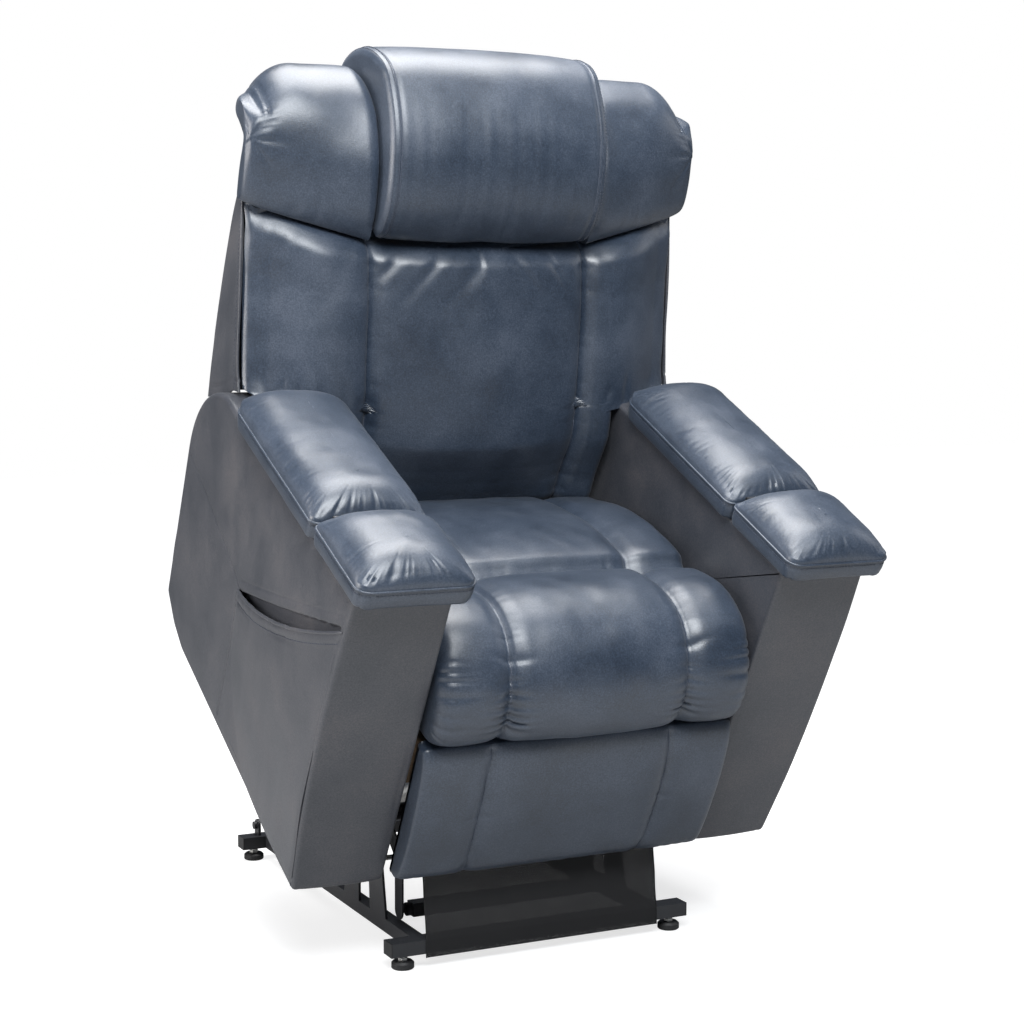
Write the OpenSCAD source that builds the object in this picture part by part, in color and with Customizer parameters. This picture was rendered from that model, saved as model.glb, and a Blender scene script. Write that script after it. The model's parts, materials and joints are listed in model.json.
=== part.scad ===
// Lift recliner chair, shown raised: a floor base, a two-link lift, and the tilting chair above it.
// X runs to the sitter's left, Y to the rear and Z up, in millimetres, with the floor at Z = 0.
// Everything above the lift is drawn as if the chair were seated, then turned about the lift pole.

/* [Base] */
// Y of the front feet, which places the whole chair over the origin
front_feet_y = -201; // [-240:1:-170]
// Distance from front to rear feet
foot_pitch_y = 706; // [690:1:730]
// Length of the front and rear floor bars
bar_len = 524; // [500:1:540]
// Distance of a foot's centre from the end of its bar
foot_inset = 23; // [20:1:30]
// Depth of the floor bars, front to rear
bar_w = 32; // [28:1:36]
// Height of the floor bars and side rails
bar_h = 22; // [20:1:26]
// Height of the underside of the bars
bar_z = 22; // [20:1:26]
// Wall of every steel tube
tube_wall = 2; // [1.5:0.1:3]
// Distance between the centres of the side rails
rail_pitch = 420; // [416:1:424]
// Width of a side rail
rail_w = 22; // [20:1:24]
// Radius of a foot disc
foot_r = 18; // [15:0.5:21]
// Thickness of a foot disc
foot_t = 13; // [10:0.5:15]
// Radius of a foot's threaded stem
foot_stem_r = 5; // [4:0.5:6]
// How far a foot stem stands up inside the bar
foot_stem_in = 12; // [8:1:16]

/* [Lift] */
// Forward tilt of the raised chair
lift_tilt = 27.46; // [24:0.02:29]
// Y of the pole about which the chair turns from seated to raised
pole_y = -240; // [-250:1:-230]
// Z of that pole
pole_z = 158; // [150:1:166]
// Y of the front links' lower pivot
front_pivot_y = 168; // [164:1:172]
// Z of the front links' lower pivot
front_pivot_z = 204; // [200:1:208]
// Distance from the pole to the middle of the front carriage pivot's chord
front_reach = 580; // [570:1:590]
// Y of the rear links' lower pivot
rear_pivot_y = 250; // [246:1:254]
// Z of the rear links' lower pivot
rear_pivot_z = 217; // [212:1:222]
// Distance from the pole to the middle of the rear carriage pivot's chord
rear_reach = 772; // [764:1:780]
// Thickness of a lift link
link_t = 4.5; // [4:0.5:5]
// Half width of a lift link
link_r = 17; // [15:0.5:18]
// Radius of the torque tube between the front links
torque_r = 14; // [13:0.5:15]
// Thickness of the riser plates
riser_t = 4; // [3:0.5:5]
// Thickness of the riser straps
strap_t = 3; // [2.5:0.5:4]
// Gap between the planes of the front and the rear links
link_gap = 3.1; // [2.8:0.1:3.4]
// Thickness of the pivot heads in that gap
thin_head_t = 1.8; // [1.5:0.1:1.9]
// Radius of the pivot bolts
bolt_r = 6; // [5:0.5:7]
// Thickness of a bolt head
head_t = 4; // [3:0.5:5]
// Radial clearance of a running pivot
run_fit = 0.08; // [0.04:0.01:0.1]
// Radial clearance at the pivot where the rear links' loop is open
loop_gap = 2; // [1.8:0.1:3]
// Length of the lift lever on the torque tube
lever_len = 68; // [60:1:72]
// Angle of the lift lever above the rear horizon when seated
lever_seated_a = 26; // [22:1:30]
// Y of the lift motor's rear pin
motor_pin_y = 662; // [656:1:668]
// Z of the lift motor's rear pin
motor_pin_z = 70; // [66:1:76]
// X of the lift motor's centre plane
lift_motor_x = -58; // [-64:1:-52]

/* [Actuators] */
// Outer radius of an actuator tube
act_tube_r = 20; // [19:0.5:22]
// Bore radius of an actuator tube
act_bore_r = 17.5; // [17:0.1:18]
// Radius of an actuator rod
act_rod_r = 8; // [7:0.5:9]
// Length of an actuator gearbox
gearbox_len = 92; // [84:1:100]
// Width of an actuator gearbox
gearbox_w = 56; // [52:1:60]
// Radius of an actuator motor can
motor_can_r = 25; // [22:1:28]
// Length of an actuator motor can
motor_can_len = 118; // [100:1:130]
// Radius of an actuator pin
act_pin_r = 5; // [4:0.5:6]

/* [Carriage] */
// Thickness of the carriage side plates
carriage_t = 5; // [4:0.5:6]
// Gap between a carriage side plate and a lift link
carriage_gap = 12; // [10:1:14]
// Size of the square cross tubes
cross_tube = 25; // [22:1:28]
// Height of the underside of the cross tubes when seated
cross_tube_z = 235; // [232:1:238]
// Y of the front cross tube when seated
front_tube_y = 110; // [106:1:114]
// Y of the middle cross tube when seated
mid_tube_y = 272; // [268:1:280]
// How far the middle cross tube stands above the others
mid_tube_up = 6; // [5:1:8]
// Y of the rear cross tube when seated
rear_tube_y = 562; // [556:1:570]
// Front face of the seat box's rear rail
seat_rail_y = 404; // [396:1:410]
// Thickness of the seat box boards
board_t = 22; // [18:1:24]
// Height of the seat box boards
box_h = 78; // [70:1:84]
// Front face of the seat box
box_front_y = -30; // [-32:1:-26]
// Length of the seat box sides
box_len = 588; // [580:1:594]
// Width of a seat webbing strap
strap_w = 48; // [40:1:54]

/* [Arms] */
// Width over the arms' side panels
chair_w = 840; // [828:1:860]
// Thickness of an arm, without its pad
arm_w = 147; // [140:1:154]
// Thickness of the padded cover of an arm
cover_t = 6; // [5:0.5:8]
// Front of the arm at its top
arm_front_y = -55; // [-60:1:-50]
// How far the arm's front leans back towards the floor
arm_front_lean = 20; // [14:1:26]
// Height of the arm's underside
arm_z = 35; // [32:1:40]
// Height of the arm's top at the front
arm_top_front = 588; // [580:1:596]
// Height of the arm's top at the rear
arm_top_rear = 556; // [550:1:560]
// Rear face of the arm
arm_rear_y = 704; // [698:1:708]
// Radius of the arm's rear top corner
arm_rear_r = 177; // [165:1:185]
// Length of the sloping cut at the arm's lower rear corner
arm_cut_len = 114; // [100:1:125]
// Height of that cut
arm_cut_h = 46; // [40:1:55]
// Depth of the side pocket, from the arm's face to the pocket's lining
pocket_d = 12; // [10:1:16]
// Thickness of the pocket's leather
pocket_t = 3; // [2:0.5:4]
// How far the padding of an arm's side swells
dome_rise = 17; // [10:1:20]
// Reach of that padding from its middle
dome_reach = 335; // [320:1:345]
// Y of the middle of that padding
dome_y = 62; // [50:1:80]
// Z of the middle of that padding
dome_z = 335; // [320:1:350]
// Distance that the front of the pocket keeps from the arm's front edge
pocket_inset = 6; // [4:1:10]
// Y of the rear seam of the pocket
pocket_rear_y = 372; // [350:1:385]
// Width of the storage well in each arm
well_w = 88; // [76:1:94]
// Length of the storage well
well_len = 92; // [80:1:96]
// Depth of the storage well
well_d = 80; // [60:1:95]
// Wall of the storage well
well_wall = 2.5; // [2:0.1:3]

/* [Pads] */
// Width of an arm pad
pad_w = 182; // [176:1:190]
// How far a pad overhangs the arm's outer face
pad_over = 19; // [14:1:22]
// Height of a pad's border band
pad_band = 28; // [22:1:32]
// Rise of the crown above the band
pad_crown = 40; // [26:1:46]
// Front end of the lid pad
lid_front_y = -90; // [-96:1:-82]
// Joint between the lid pad and the long pad
lid_rear_y = 98; // [92:1:104]
// Gap between the two pads of an arm
pad_gap = 8; // [6:0.5:12]
// Rear end of the long pad
pad_rear_y = 484; // [476:1:492]
// Height of a lid's hinge pin above the arm
lid_pin_h = 40; // [38:1:42]
// Radius of a lid's hinge pin
lid_pin_r = 2; // [1.6:0.1:2.2]
// Radius of a lid hinge's knuckles
lid_eye_r = 3.4; // [3:0.1:3.5]

/* [Seat] */
// Gap between the seat and each arm
seat_gap = 7; // [5:1:10]
// Distance from the middle of the seat to a channel seam
seat_seam_x = 150; // [140:1:160]
// Depth of a channel seam
seam_depth = 14; // [8:1:18]
// Width of the valley of a channel seam, to each side
seam_half_w = 16; // [12:1:22]
// Radius that draws in the ends of the seat cushion
seat_end_r = 24; // [16:1:30]

/* [Footrest] */
// Y of the footrest links' upper pivot when stowed
foot_pivot_y = 0; // [-2:1:4]
// Z of that pivot
foot_pivot_z = 236; // [234:1:238]
// Length of each footrest link
foot_link_len = 138; // [137:1:140]
// Half width of a footrest link
foot_link_r = 11; // [10:0.5:12]
// Thickness of a footrest link
foot_link_t = 5; // [4:0.5:5]
// Radius of the footrest pivots
foot_bolt_r = 4; // [3:0.5:5]
// Lowest edge of the footrest board
foot_board_z = 54; // [50:1:60]
// Height of the footrest board
foot_board_h = 250; // [236:1:252]
// Thickness of the footrest board
foot_board_t = 12; // [10:1:14]
// Rear face of the footrest board when stowed
foot_board_y = -34; // [-36:1:-33]
// Thickness of the footrest pad at its crown
foot_pad_t = 33; // [26:1:38]
// Distance of the footrest board's pivot behind the board
foot_lug = 14; // [13:1:16]

/* [Back] */
// Y of the back's pivot
back_pivot_y = 520; // [514:1:526]
// Z of the back's pivot
back_pivot_z = 330; // [324:1:336]
// How far the back reclines
recline = 35; // [25:1:35]
// Width over the back's side panels at their front edges
back_w = 798; // [780:1:810]
// How much narrower each side panel stands at the rear
back_taper = 8; // [0:1:12]
// Gap between each arm and the part of the back between them
back_low_gap = 7; // [3:0.5:12]
// Distance from the middle of the back to a vertical seam
back_seam_x = 195; // [185:1:205]
// Thickness of the back cushion behind its seams
back_pad_t = 78; // [70:1:80]
// Rise of the back cushion's middle panel in front of its seams
back_crown = 18; // [10:1:24]
// Thickness of the back's outer shell
shell_t = 5; // [4:0.5:6]
// Thickness of the back's uprights
upright_t = 20; // [18:1:22]
// Depth of the back's uprights
upright_d = 36; // [30:1:40]
// How far the uprights' foot stands in front of the line of the cushion's rear
frame_set = 4.28; // [3:0.01:4.28]
// Gap between the back cushion and its shell, less what the shell's taper adds
shell_gap = -0.3; // [-0.3:0.1:1]
// Length of the back's lever for its actuator
back_lever_len = 92; // [86:1:96]
// X of the back motor's centre plane
back_motor_x = 58; // [52:1:64]

/* [Headrest] */
// Width of the headrest pillow
head_w = 388; // [370:1:400]
// Y of the headrest's hinge
head_pivot_y = 652; // [648:1:656]
// Z of the headrest's hinge
head_pivot_z = 815; // [812:1:818]
// Thickness of the board inside the headrest
head_board_t = 9; // [8:1:10]

/* [Cloth] */
// Half width of the mesh apron under the seat
apron_half_w = 207; // [190:1:208]
// Thickness of the mesh apron
apron_t = 1.2; // [1:0.1:2]
// Height of the apron's lower hem
apron_z = 16; // [14:1:20]
// Y of the rod that carries the apron's top, when seated
apron_rod_y = -13; // [-15:1:-11]
// Z of that rod
apron_rod_z = 61; // [58:1:64]
// Radius of that rod
apron_rod_r = 4; // [3:0.5:5]

/* [Hidden] */

round_fn = 64;
steel = "dimgray";
dark_steel = "darkslategray";
leather_blue = "slategray";
wood = "burlywood";
plastic_black = "black";
bar_top = bar_z + bar_h;
rail_in = rail_pitch / 2 - rail_w / 2;
rail_out = rail_pitch / 2 + rail_w / 2;
riser_x = rail_out - riser_t;
strap_x = rail_in;
link_x = strap_x + strap_t + 1;
rear_link_x = link_x + link_t + link_gap;
plate_x = link_x - carriage_gap - carriage_t;
arm_out = chair_w / 2;
foot_pitch_x = bar_len - 2 * foot_inset;
// line of glue or weld between two pieces that are fixed together
weld_gap = 0.3;
arm_in = arm_out - arm_w;
back_low_w = 2 * (arm_in - back_low_gap);
box_in = arm_in - board_t;
box_z = cross_tube_z - 10;
box_top = box_z + box_h;
pole = [pole_y, pole_z];
front_pivot = [front_pivot_y, front_pivot_z];
rear_pivot = [rear_pivot_y, rear_pivot_z];
foot_pivot = [foot_pivot_y, foot_pivot_z];
back_pivot = [back_pivot_y, back_pivot_z];
head_pivot = [head_pivot_y, head_pivot_z];

// ---- plane geometry, in the Y Z plane ----
function turn(p, a) = [p.x * cos(a) - p.y * sin(a), p.x * sin(a) + p.y * cos(a)];
function about(p, centre, a) = centre + turn(p - centre, a);
function heading(p, q) = atan2(q.y - p.y, q.x - p.x);
function unit(v) = v / norm(v);
function left_of(v) = [-v.y, v.x];
// a carriage pivot's two positions lie on a chord seen from the pole under the tilt angle
function chord_end(base, reach, side) =
    let (along = unit(base - pole))
    pole + along * reach + left_of(along) * side * reach * tan(lift_tilt / 2);
function raised(p) = about(p, pole, lift_tilt);
function wrap(a) = a > 180 ? a - 360 : a < -180 ? a + 360 : a;
// the knee of two equal links of length l between p and q, on the left of p to q
function knee(p, q, l) =
    let (half = norm(q - p) / 2)
    (p + q) / 2 + left_of(unit(q - p)) * sqrt(l * l - half * half);

front_low = chord_end(front_pivot, front_reach, -1);
front_high = chord_end(front_pivot, front_reach, 1);
front_sweep = wrap(heading(front_pivot, front_high) - heading(front_pivot, front_low));
rear_low = chord_end(rear_pivot, rear_reach, -1);
rear_high = chord_end(rear_pivot, rear_reach, 1);

motor_pin = [motor_pin_y, motor_pin_z];
lever_low = front_pivot + lever_len * [cos(lever_seated_a), sin(lever_seated_a)];
lever_high = about(lever_low, front_pivot, front_sweep);
lever_mid = about(lever_low, front_pivot, front_sweep / 2);
// the rod's eye is slotted by the height of the lever pin's arc over its chord
lift_slot = norm(lever_mid - (lever_low + lever_high) / 2) + 0.6;
lift_len_low = norm(lever_low - motor_pin);
lift_a = heading(motor_pin, lever_high);

back_lever = back_pivot + back_lever_len * [cos(-85), sin(-85)];
back_lever_in = about(back_lever, back_pivot, -recline);
back_motor_pin = [mid_tube_y - 6, cross_tube_z - 42];
back_len_in = norm(back_lever_in - back_motor_pin);
back_slot = back_lever_len * (1 - cos(recline / 2)) + 1.2;
back_a = heading(back_motor_pin, back_lever);

foot_end = [foot_board_y + foot_lug, foot_board_z + foot_board_h / 2];
foot_knee = knee(foot_pivot, foot_end, foot_link_len);
foot_drive_x = plate_x - 5 - foot_link_t;
foot_arm_x = foot_drive_x - 3 - foot_link_t;

// ---- frames of reference and plain shapes ----
module at_base() translate([0, front_feet_y, 0]) children();
module at_chair() at_base() translate([0, pole_y, pole_z]) rotate([lift_tilt, 0, 0])
    translate([0, -pole_y, -pole_z]) children();
module both_sides() {
    children();
    mirror([1, 0, 0]) children();
}
// a flat shape drawn in Y and Z, standing from x over a thickness of t
module plate(x, t) translate([x, 0, 0]) rotate([90, 0, 90]) linear_extrude(t) children();
module disc(p, r) translate(p) circle(r = r, $fn = round_fn);
module strip(p, q, r) {
    across = left_of(unit(q - p)) * (r - 0.01);
    disc(p, r);
    disc(q, r);
    polygon([p + across, p - across, q - across, q + across]);
}
module pin(p, r, x, len) plate(x, len) disc(p, r);
module box(low, high) translate(low) cube(high - low);
module square_tube(low, high, wall) difference() {
    box(low, high);
    box([low.x - 1, low.y + wall, low.z + wall], [high.x + 1, high.y - wall, high.z - wall]);
}

// ---- soft forms: rings of points joined into one closed skin ----
function spline(a, b, c, d, t) =
    (2 * b + (c - a) * t + (2 * a - 5 * b + 4 * c - d) * t * t
    + (3 * b - a - 3 * c + d) * t * t * t) / 2;
function closed_curve(p, n) =
    let (m = len(p))
    [for (i = [0:m - 1], j = [0:n - 1])
        spline(p[(i + m - 1) % m], p[i], p[(i + 1) % m], p[(i + 2) % m], j / n)];
function middle(ring) = [for (k = [0:2]) [for (p = ring) p[k]] * [for (p = ring) 1] / len(ring)];
// a flat cap is a fan about its middle; a strip cap joins the ring's two halves across
module skin(rings, strip_caps = false) {
    n = len(rings[0]);
    m = len(rings);
    wall = [for (i = [0:m - 2], j = [0:n - 1])
        let (a = i * n + j, b = i * n + (j + 1) % n) each [[a, b + n, b], [a, a + n, b + n]]];
    top = (m - 1) * n;
    cap_a = strip_caps
        ? [for (j = [0:n / 2 - 2]) each [[j, j + 1, n - 1 - j], [j + 1, n - 2 - j, n - 1 - j]]]
        : [for (j = [0:n - 1]) [n * m, j, (j + 1) % n]];
    cap_b = strip_caps
        ? [for (j = [0:n / 2 - 2])
            each [[top + j + 1, top + j, top + n - 1 - j], [top + n - 2 - j, top + j + 1, top + n - 1 - j]]]
        : [for (j = [0:n - 1]) [n * m + 1, top + (j + 1) % n, top + j]];
    polyhedron(concat([for (r = rings) each r], strip_caps ? [] : [middle(rings[0]), middle(rings[m - 1])]),
        concat(wall, cap_a, cap_b), convexity = 8);
}
// a closed outline of [y, z, share of the seam's depth], drawn inwards by a depth and a seam
function inset_ring(curve, x, depth, seam) =
    let (n = len(curve))
    [for (k = [0:n - 1])
        let (before = curve[(k + n - 1) % n], here = curve[k], after = curve[(k + 1) % n],
            inwards = left_of(unit([after.x - before.x, after.y - before.y])),
            d = depth + seam * here.z)
        [x, here.x + inwards.x * d, here.y + inwards.y * d]];
// how far an end of radius r is drawn in at a distance from the middle
function end_round(x, half, r) =
    let (s = max(0, (abs(x) - half + r) / r)) r * (1 - sqrt(max(0, 1 - s * s)));
function valley(x, at, half_w) = let (s = min(1, abs(abs(x) - at) / half_w)) pow(1 - s, 2);
// stations across a width: a flat middle, the seams, and closely spaced ends
function mirrored(list) = concat([for (i = [len(list) - 1:-1:0]) -list[i]], [0], list);
function end_steps(half, r, n) = [for (i = [0:n]) half - r + r * sin(90 * i / n)];

// ---- base ----
module floor_bar(y) difference() {
    at_base() square_tube([-bar_len / 2, y - bar_w / 2, bar_z], [bar_len / 2, y + bar_w / 2, bar_top],
        tube_wall);
    foot_places() translate([0, 0, bar_z - 1]) cylinder(r = foot_stem_r + run_fit, h = tube_wall + 2,
        $fn = round_fn);
}
module foot_places() at_base() for (x = [-1, 1], y = [0, foot_pitch_y])
    translate([x * foot_pitch_x / 2, y, 0]) children();
module front_floor_bar() color(steel) floor_bar(0);
module rear_floor_bar() color(steel) floor_bar(foot_pitch_y);
module side_rails() color(steel) at_base() both_sides() rotate([0, 0, 90])
    square_tube([bar_w / 2, -rail_out, bar_z], [foot_pitch_y - bar_w / 2, -rail_in, bar_top], tube_wall);
module tube_end_plugs() color(plastic_black) at_base() both_sides() for (y = [0, foot_pitch_y])
    translate([bar_len / 2, y, bar_z + bar_h / 2]) {
        translate([0, -bar_w / 2, -bar_h / 2]) cube([2.5, bar_w, bar_h]);
        translate([-12, -bar_w / 2 + tube_wall, -bar_h / 2 + tube_wall])
            cube([12, bar_w - 2 * tube_wall, bar_h - 2 * tube_wall]);
    }
module levelling_feet() color(plastic_black) foot_places() rotate_extrude($fn = round_fn)
    polygon([[0, 0], [foot_r - 1.5, 0], [foot_r, 1.5], [foot_r, foot_t - 4], [foot_r - 3, foot_t - 1],
        [foot_stem_r + 2, foot_t], [0, foot_t]]);
module foot_stems() color("silver") foot_places() {
    translate([0, 0, foot_t]) cylinder(r = foot_stem_r, h = bar_z + foot_stem_in - foot_t, $fn = round_fn);
    translate([0, 0, foot_t]) cylinder(r = foot_stem_r + 3, h = 4, $fn = 6);
}
module riser(foot_front, foot_rear, pivot, eye_r) {
    disc(pivot, eye_r);
    polygon([[foot_front, bar_top], [foot_rear, bar_top], [pivot.x + eye_r, pivot.y],
        [pivot.x - eye_r, pivot.y]]);
}
module riser_plates() color(steel) at_base() both_sides() plate(riser_x, riser_t) difference() {
    union() {
        riser(front_pivot.x - 55, front_pivot.x + 12, front_pivot, 23);
        riser(rear_pivot.x - 22, rear_pivot.x + 44, rear_pivot, 23);
    }
    disc(front_pivot, bolt_r);
    disc(rear_pivot, bolt_r + 2);
}
strap_foot = [front_pivot.x - 64, bar_top + 15];
module riser_straps() color(dark_steel) at_base() both_sides() plate(strap_x, strap_t) difference() {
    union() {
        strip(strap_foot, strap_foot + [0, 90], 15);
        strip(strap_foot + [0, 90], front_pivot, 15);
        disc(front_pivot, torque_r + 8);
    }
    disc(front_pivot, torque_r + run_fit);
    disc(strap_foot, bolt_r);
}
module front_brace_tube() color(dark_steel) at_base() {
    half = rail_in - 20;
    low = strap_foot - [cross_tube / 2, 11];
    square_tube([-half, low.x, low.y], [half, low.x + cross_tube, low.y + 22], tube_wall);
    both_sides() {
        box([half, low.x, low.y], [half + 2, low.x + cross_tube, low.y + 22]);
        pin(strap_foot, bolt_r, half + 2, strap_x + strap_t - half - 2);
        pin(strap_foot, bolt_r + 5, half + 2, 8);
    }
}
module base_pivot_bolts() color("silver") at_base() both_sides() {
    pin(front_pivot, bolt_r, link_x - 2, rail_out - link_x + 2);
    pin(front_pivot, bolt_r + 4, rail_out, head_t);
    pin(rear_pivot, bolt_r + 2, rear_link_x - 0.5, rail_out - rear_link_x + 0.5);
    pin(rear_pivot, bolt_r + 6, rail_out, head_t);
    pin(rear_pivot, bolt_r + 6, rear_link_x - 0.5 - thin_head_t, thin_head_t);
    pin(rear_pivot, bolt_r + 5, rear_link_x + link_t + 0.4, riser_x - rear_link_x - link_t - 0.4);
}
ear_gap = 10;
// play of a rod's eye along the rod
eye_play = 2.4;
module lift_motor_bracket() color(dark_steel) at_base() translate([lift_motor_x, 0, 0]) {
    rear = foot_pitch_y + bar_w / 2;
    both_sides() plate(ear_gap + 0.5, 4) difference() {
        union() {
            disc(motor_pin, 14);
            polygon([motor_pin + [0, 14], motor_pin + [-14, 0], [foot_pitch_y - bar_w / 2, bar_top],
                [rear, bar_top], [rear, bar_top + 8]]);
        }
        disc(motor_pin, act_pin_r);
    }
    pin(motor_pin, act_pin_r, -ear_gap - 7, 2 * ear_gap + 14);
}
module rear_lugs() color(dark_steel) at_base() both_sides() {
    lug = [foot_pitch_y + 4, bar_top + 18];
    plate(foot_pitch_x / 2 - 12, 5) union() {
        disc(lug, 11);
        polygon([[lug.x - 11, bar_top], [lug.x + 11, bar_top], [lug.x + 11, lug.y], [lug.x - 11, lug.y]]);
    }
    pin(lug, 7, foot_pitch_x / 2 - 7, 6);
}
apron_low = [-bar_w / 2 - apron_t - 0.3, apron_z];
apron_top = raised([apron_rod_y, apron_rod_z]) - [apron_rod_r + apron_t + 0.5, 0];
module mesh_apron() color(plastic_black) at_base() plate(-apron_half_w, 2 * apron_half_w)
    polygon([apron_low, apron_low + [apron_t, 0], [apron_low.x + apron_t, bar_top], apron_top + [apron_t, 0],
        apron_top, [apron_low.x, bar_top]]);

// ---- lift links and lift actuator ----
module front_lift_links() color(steel) at_base() {
    both_sides() plate(link_x, link_t) difference() {
        strip(front_pivot, front_high, link_r);
        disc(front_high, bolt_r + run_fit);
        disc(front_pivot, bolt_r + run_fit);
    }
    both_sides() difference() {
        pin(front_pivot, torque_r, 0, link_x);
        pin(front_pivot, bolt_r + run_fit, link_x - 4, 5);
    }
    translate([lift_motor_x, 0, 0]) both_sides() plate(ear_gap + 0.5, 5) difference() {
        strip(front_pivot, lever_high, 16);
        disc(lever_high, act_pin_r);
    }
    pin(lever_high, act_pin_r, lift_motor_x - ear_gap - 8, 2 * ear_gap + 16);
}
module rear_lift_links() color(steel) at_base() both_sides() plate(rear_link_x, link_t) difference() {
    strip(rear_pivot, rear_high, link_r);
    disc(rear_pivot, bolt_r + 2 + run_fit);
    disc(rear_high, bolt_r + loop_gap);
}
// an actuator lies along +Y from its rear pin; its motor can lies beside the gearbox
module actuator_at(p, a, x) translate([x, p.x, p.y]) rotate([a, 0, 0]) children();
module along(y) translate([0, y, 0]) rotate([-90, 0, 0]) children();
module motor_body(can_side) {
    difference() {
        union() {
            plate(-ear_gap, 2 * ear_gap) strip([0, 0], [36, 0], 12);
            box([-gearbox_w / 2, 30, -26], [gearbox_w / 2, gearbox_len, 26]);
            along(gearbox_len - 2) cylinder(r = act_tube_r + 5, h = 10, $fn = round_fn);
            translate([0, 0, can_side * 50]) along(34) cylinder(r = motor_can_r, h = motor_can_len,
                $fn = round_fn);
            box([-19, 30, min(0, can_side * 50)], [19, gearbox_len - 6, max(0, can_side * 50)]);
        }
        pin([0, 0], act_pin_r + run_fit, -ear_gap - 1, 2 * ear_gap + 2);
        along(gearbox_len - 1) cylinder(r = act_tube_r, h = 12, $fn = round_fn);
        translate([-4, gearbox_len - 30, -can_side * 26 - 6]) cube([8, 14, 12]);
    }
}
module actuator_tube(len) along(gearbox_len - 1) difference() {
    union() {
        cylinder(r = act_tube_r, h = len, $fn = round_fn);
        translate([0, 0, len - 14]) cylinder(r = act_tube_r + 2.5, h = 14, $fn = round_fn);
    }
    translate([0, 0, 4]) cylinder(r = act_bore_r, h = len, $fn = round_fn);
}
// the eye's slot lets the lever's pin ride over the rod's straight line at mid travel
module rod_body(len, slot) difference() {
    union() {
        along(-len) cylinder(r = act_rod_r, h = len - 10, $fn = round_fn);
        along(-34) cylinder(r = ear_gap - 0.5, h = 24, $fn = round_fn);
        plate(-ear_gap, 2 * ear_gap) strip([0, 0], [0, -slot], act_pin_r + eye_play + 6);
    }
    plate(-ear_gap - 1, 2 * ear_gap + 2) strip([0, 0], [0, -slot], act_pin_r + eye_play);
}
lift_tube_len = lift_len_low - gearbox_len - 44;
module lift_motor() color(plastic_black) at_base() actuator_at(motor_pin, lift_a, lift_motor_x)
    motor_body(-1);
module lift_motor_tube() color("silver") at_base() actuator_at(motor_pin, lift_a, lift_motor_x)
    actuator_tube(lift_tube_len);
module lift_rod() color("silver") at_base() actuator_at(lever_high, lift_a, lift_motor_x)
    rod_body(lift_len_low - gearbox_len - 10, lift_slot);

// ---- carriage and seat box ----
module apron_rod() color("silver") at_chair() pin([apron_rod_y, apron_rod_z], apron_rod_r, -arm_in, 2 * arm_in);
module carriage_outline() difference() {
    union() {
        polygon([[foot_pivot.x - 16, cross_tube_z], [foot_pivot.x - 16, foot_pivot.y - 8],
            [foot_pivot.x + 24, cross_tube_z - 16], [front_low.x - 78, cross_tube_z - 12],
            [front_low.x - link_r, front_low.y], [front_low.x + link_r, front_low.y],
            [front_low.x + 54, cross_tube_z - 46], [rear_low.x - 76, cross_tube_z - 46],
            [rear_low.x - link_r, rear_low.y], [rear_low.x + link_r, rear_low.y],
            [rear_tube_y + cross_tube / 2, cross_tube_z]]);
        disc(foot_pivot, 16);
        disc(front_low, link_r);
        disc(rear_low, link_r);
        translate([mid_tube_y - cross_tube / 2, cross_tube_z - 1]) square([cross_tube, mid_tube_up + 1]);
    }
    disc([front_low.x + 4, cross_tube_z - 62], 20);
    disc([rear_low.x - 22, cross_tube_z - 72], 20);
    disc(front_low, bolt_r);
    disc(rear_low, bolt_r);
    disc(foot_pivot, foot_bolt_r);
}
module carriage_plates() color(dark_steel) at_chair() both_sides() plate(plate_x, carriage_t)
    carriage_outline();
module carriage_tubes() color(steel) at_chair() {
    for (t = [[front_tube_y, 0], [mid_tube_y, mid_tube_up], [rear_tube_y, 0]])
        square_tube([-box_in, t[0] - cross_tube / 2, cross_tube_z + t[1]],
            [box_in, t[0] + cross_tube / 2, cross_tube_z + cross_tube + t[1]], tube_wall);
    translate([back_motor_x, 0, 0]) both_sides() plate(ear_gap + 0.5, 4) difference() {
        strip(back_motor_pin, [mid_tube_y, cross_tube_z + mid_tube_up - 8], 13);
        disc(back_motor_pin, act_pin_r);
        translate([mid_tube_y - 20, cross_tube_z + mid_tube_up - weld_gap]) square([40, 20]);
    }
}
module carriage_bolts() color("silver") at_chair() {
    both_sides() {
        for (p = [[front_low, link_x], [rear_low, rear_link_x]]) {
            pin(p[0], bolt_r, plate_x, p[1] + link_t + 0.5 - plate_x);
            pin(p[0], bolt_r + 4, plate_x - head_t, head_t);
            pin(p[0], bolt_r + 4, p[1] + link_t + 0.5, thin_head_t);
        }
        pin(foot_pivot, foot_bolt_r, foot_drive_x - 1, plate_x + carriage_t - foot_drive_x + 1);
        pin(foot_pivot, foot_bolt_r + 4, plate_x + carriage_t, 3);
        pin(foot_pivot, foot_bolt_r + 3, foot_drive_x + foot_link_t + 0.4,
            plate_x - foot_drive_x - foot_link_t - 0.4);
    }
    pin(back_motor_pin, act_pin_r, back_motor_x - ear_gap - 7, 2 * ear_gap + 14);
}
module seat_box_sides() color(wood) at_chair() both_sides()
    box([box_in, box_front_y, box_z], [arm_in, box_front_y + box_len, box_top]);
seat_rail_z = cross_tube_z + 30;
module seat_box_rails() color(wood) at_chair() {
    for (y = [box_front_y, seat_rail_y]) box([-box_in, y, seat_rail_z], [box_in, y + board_t, box_top]);
}
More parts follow.
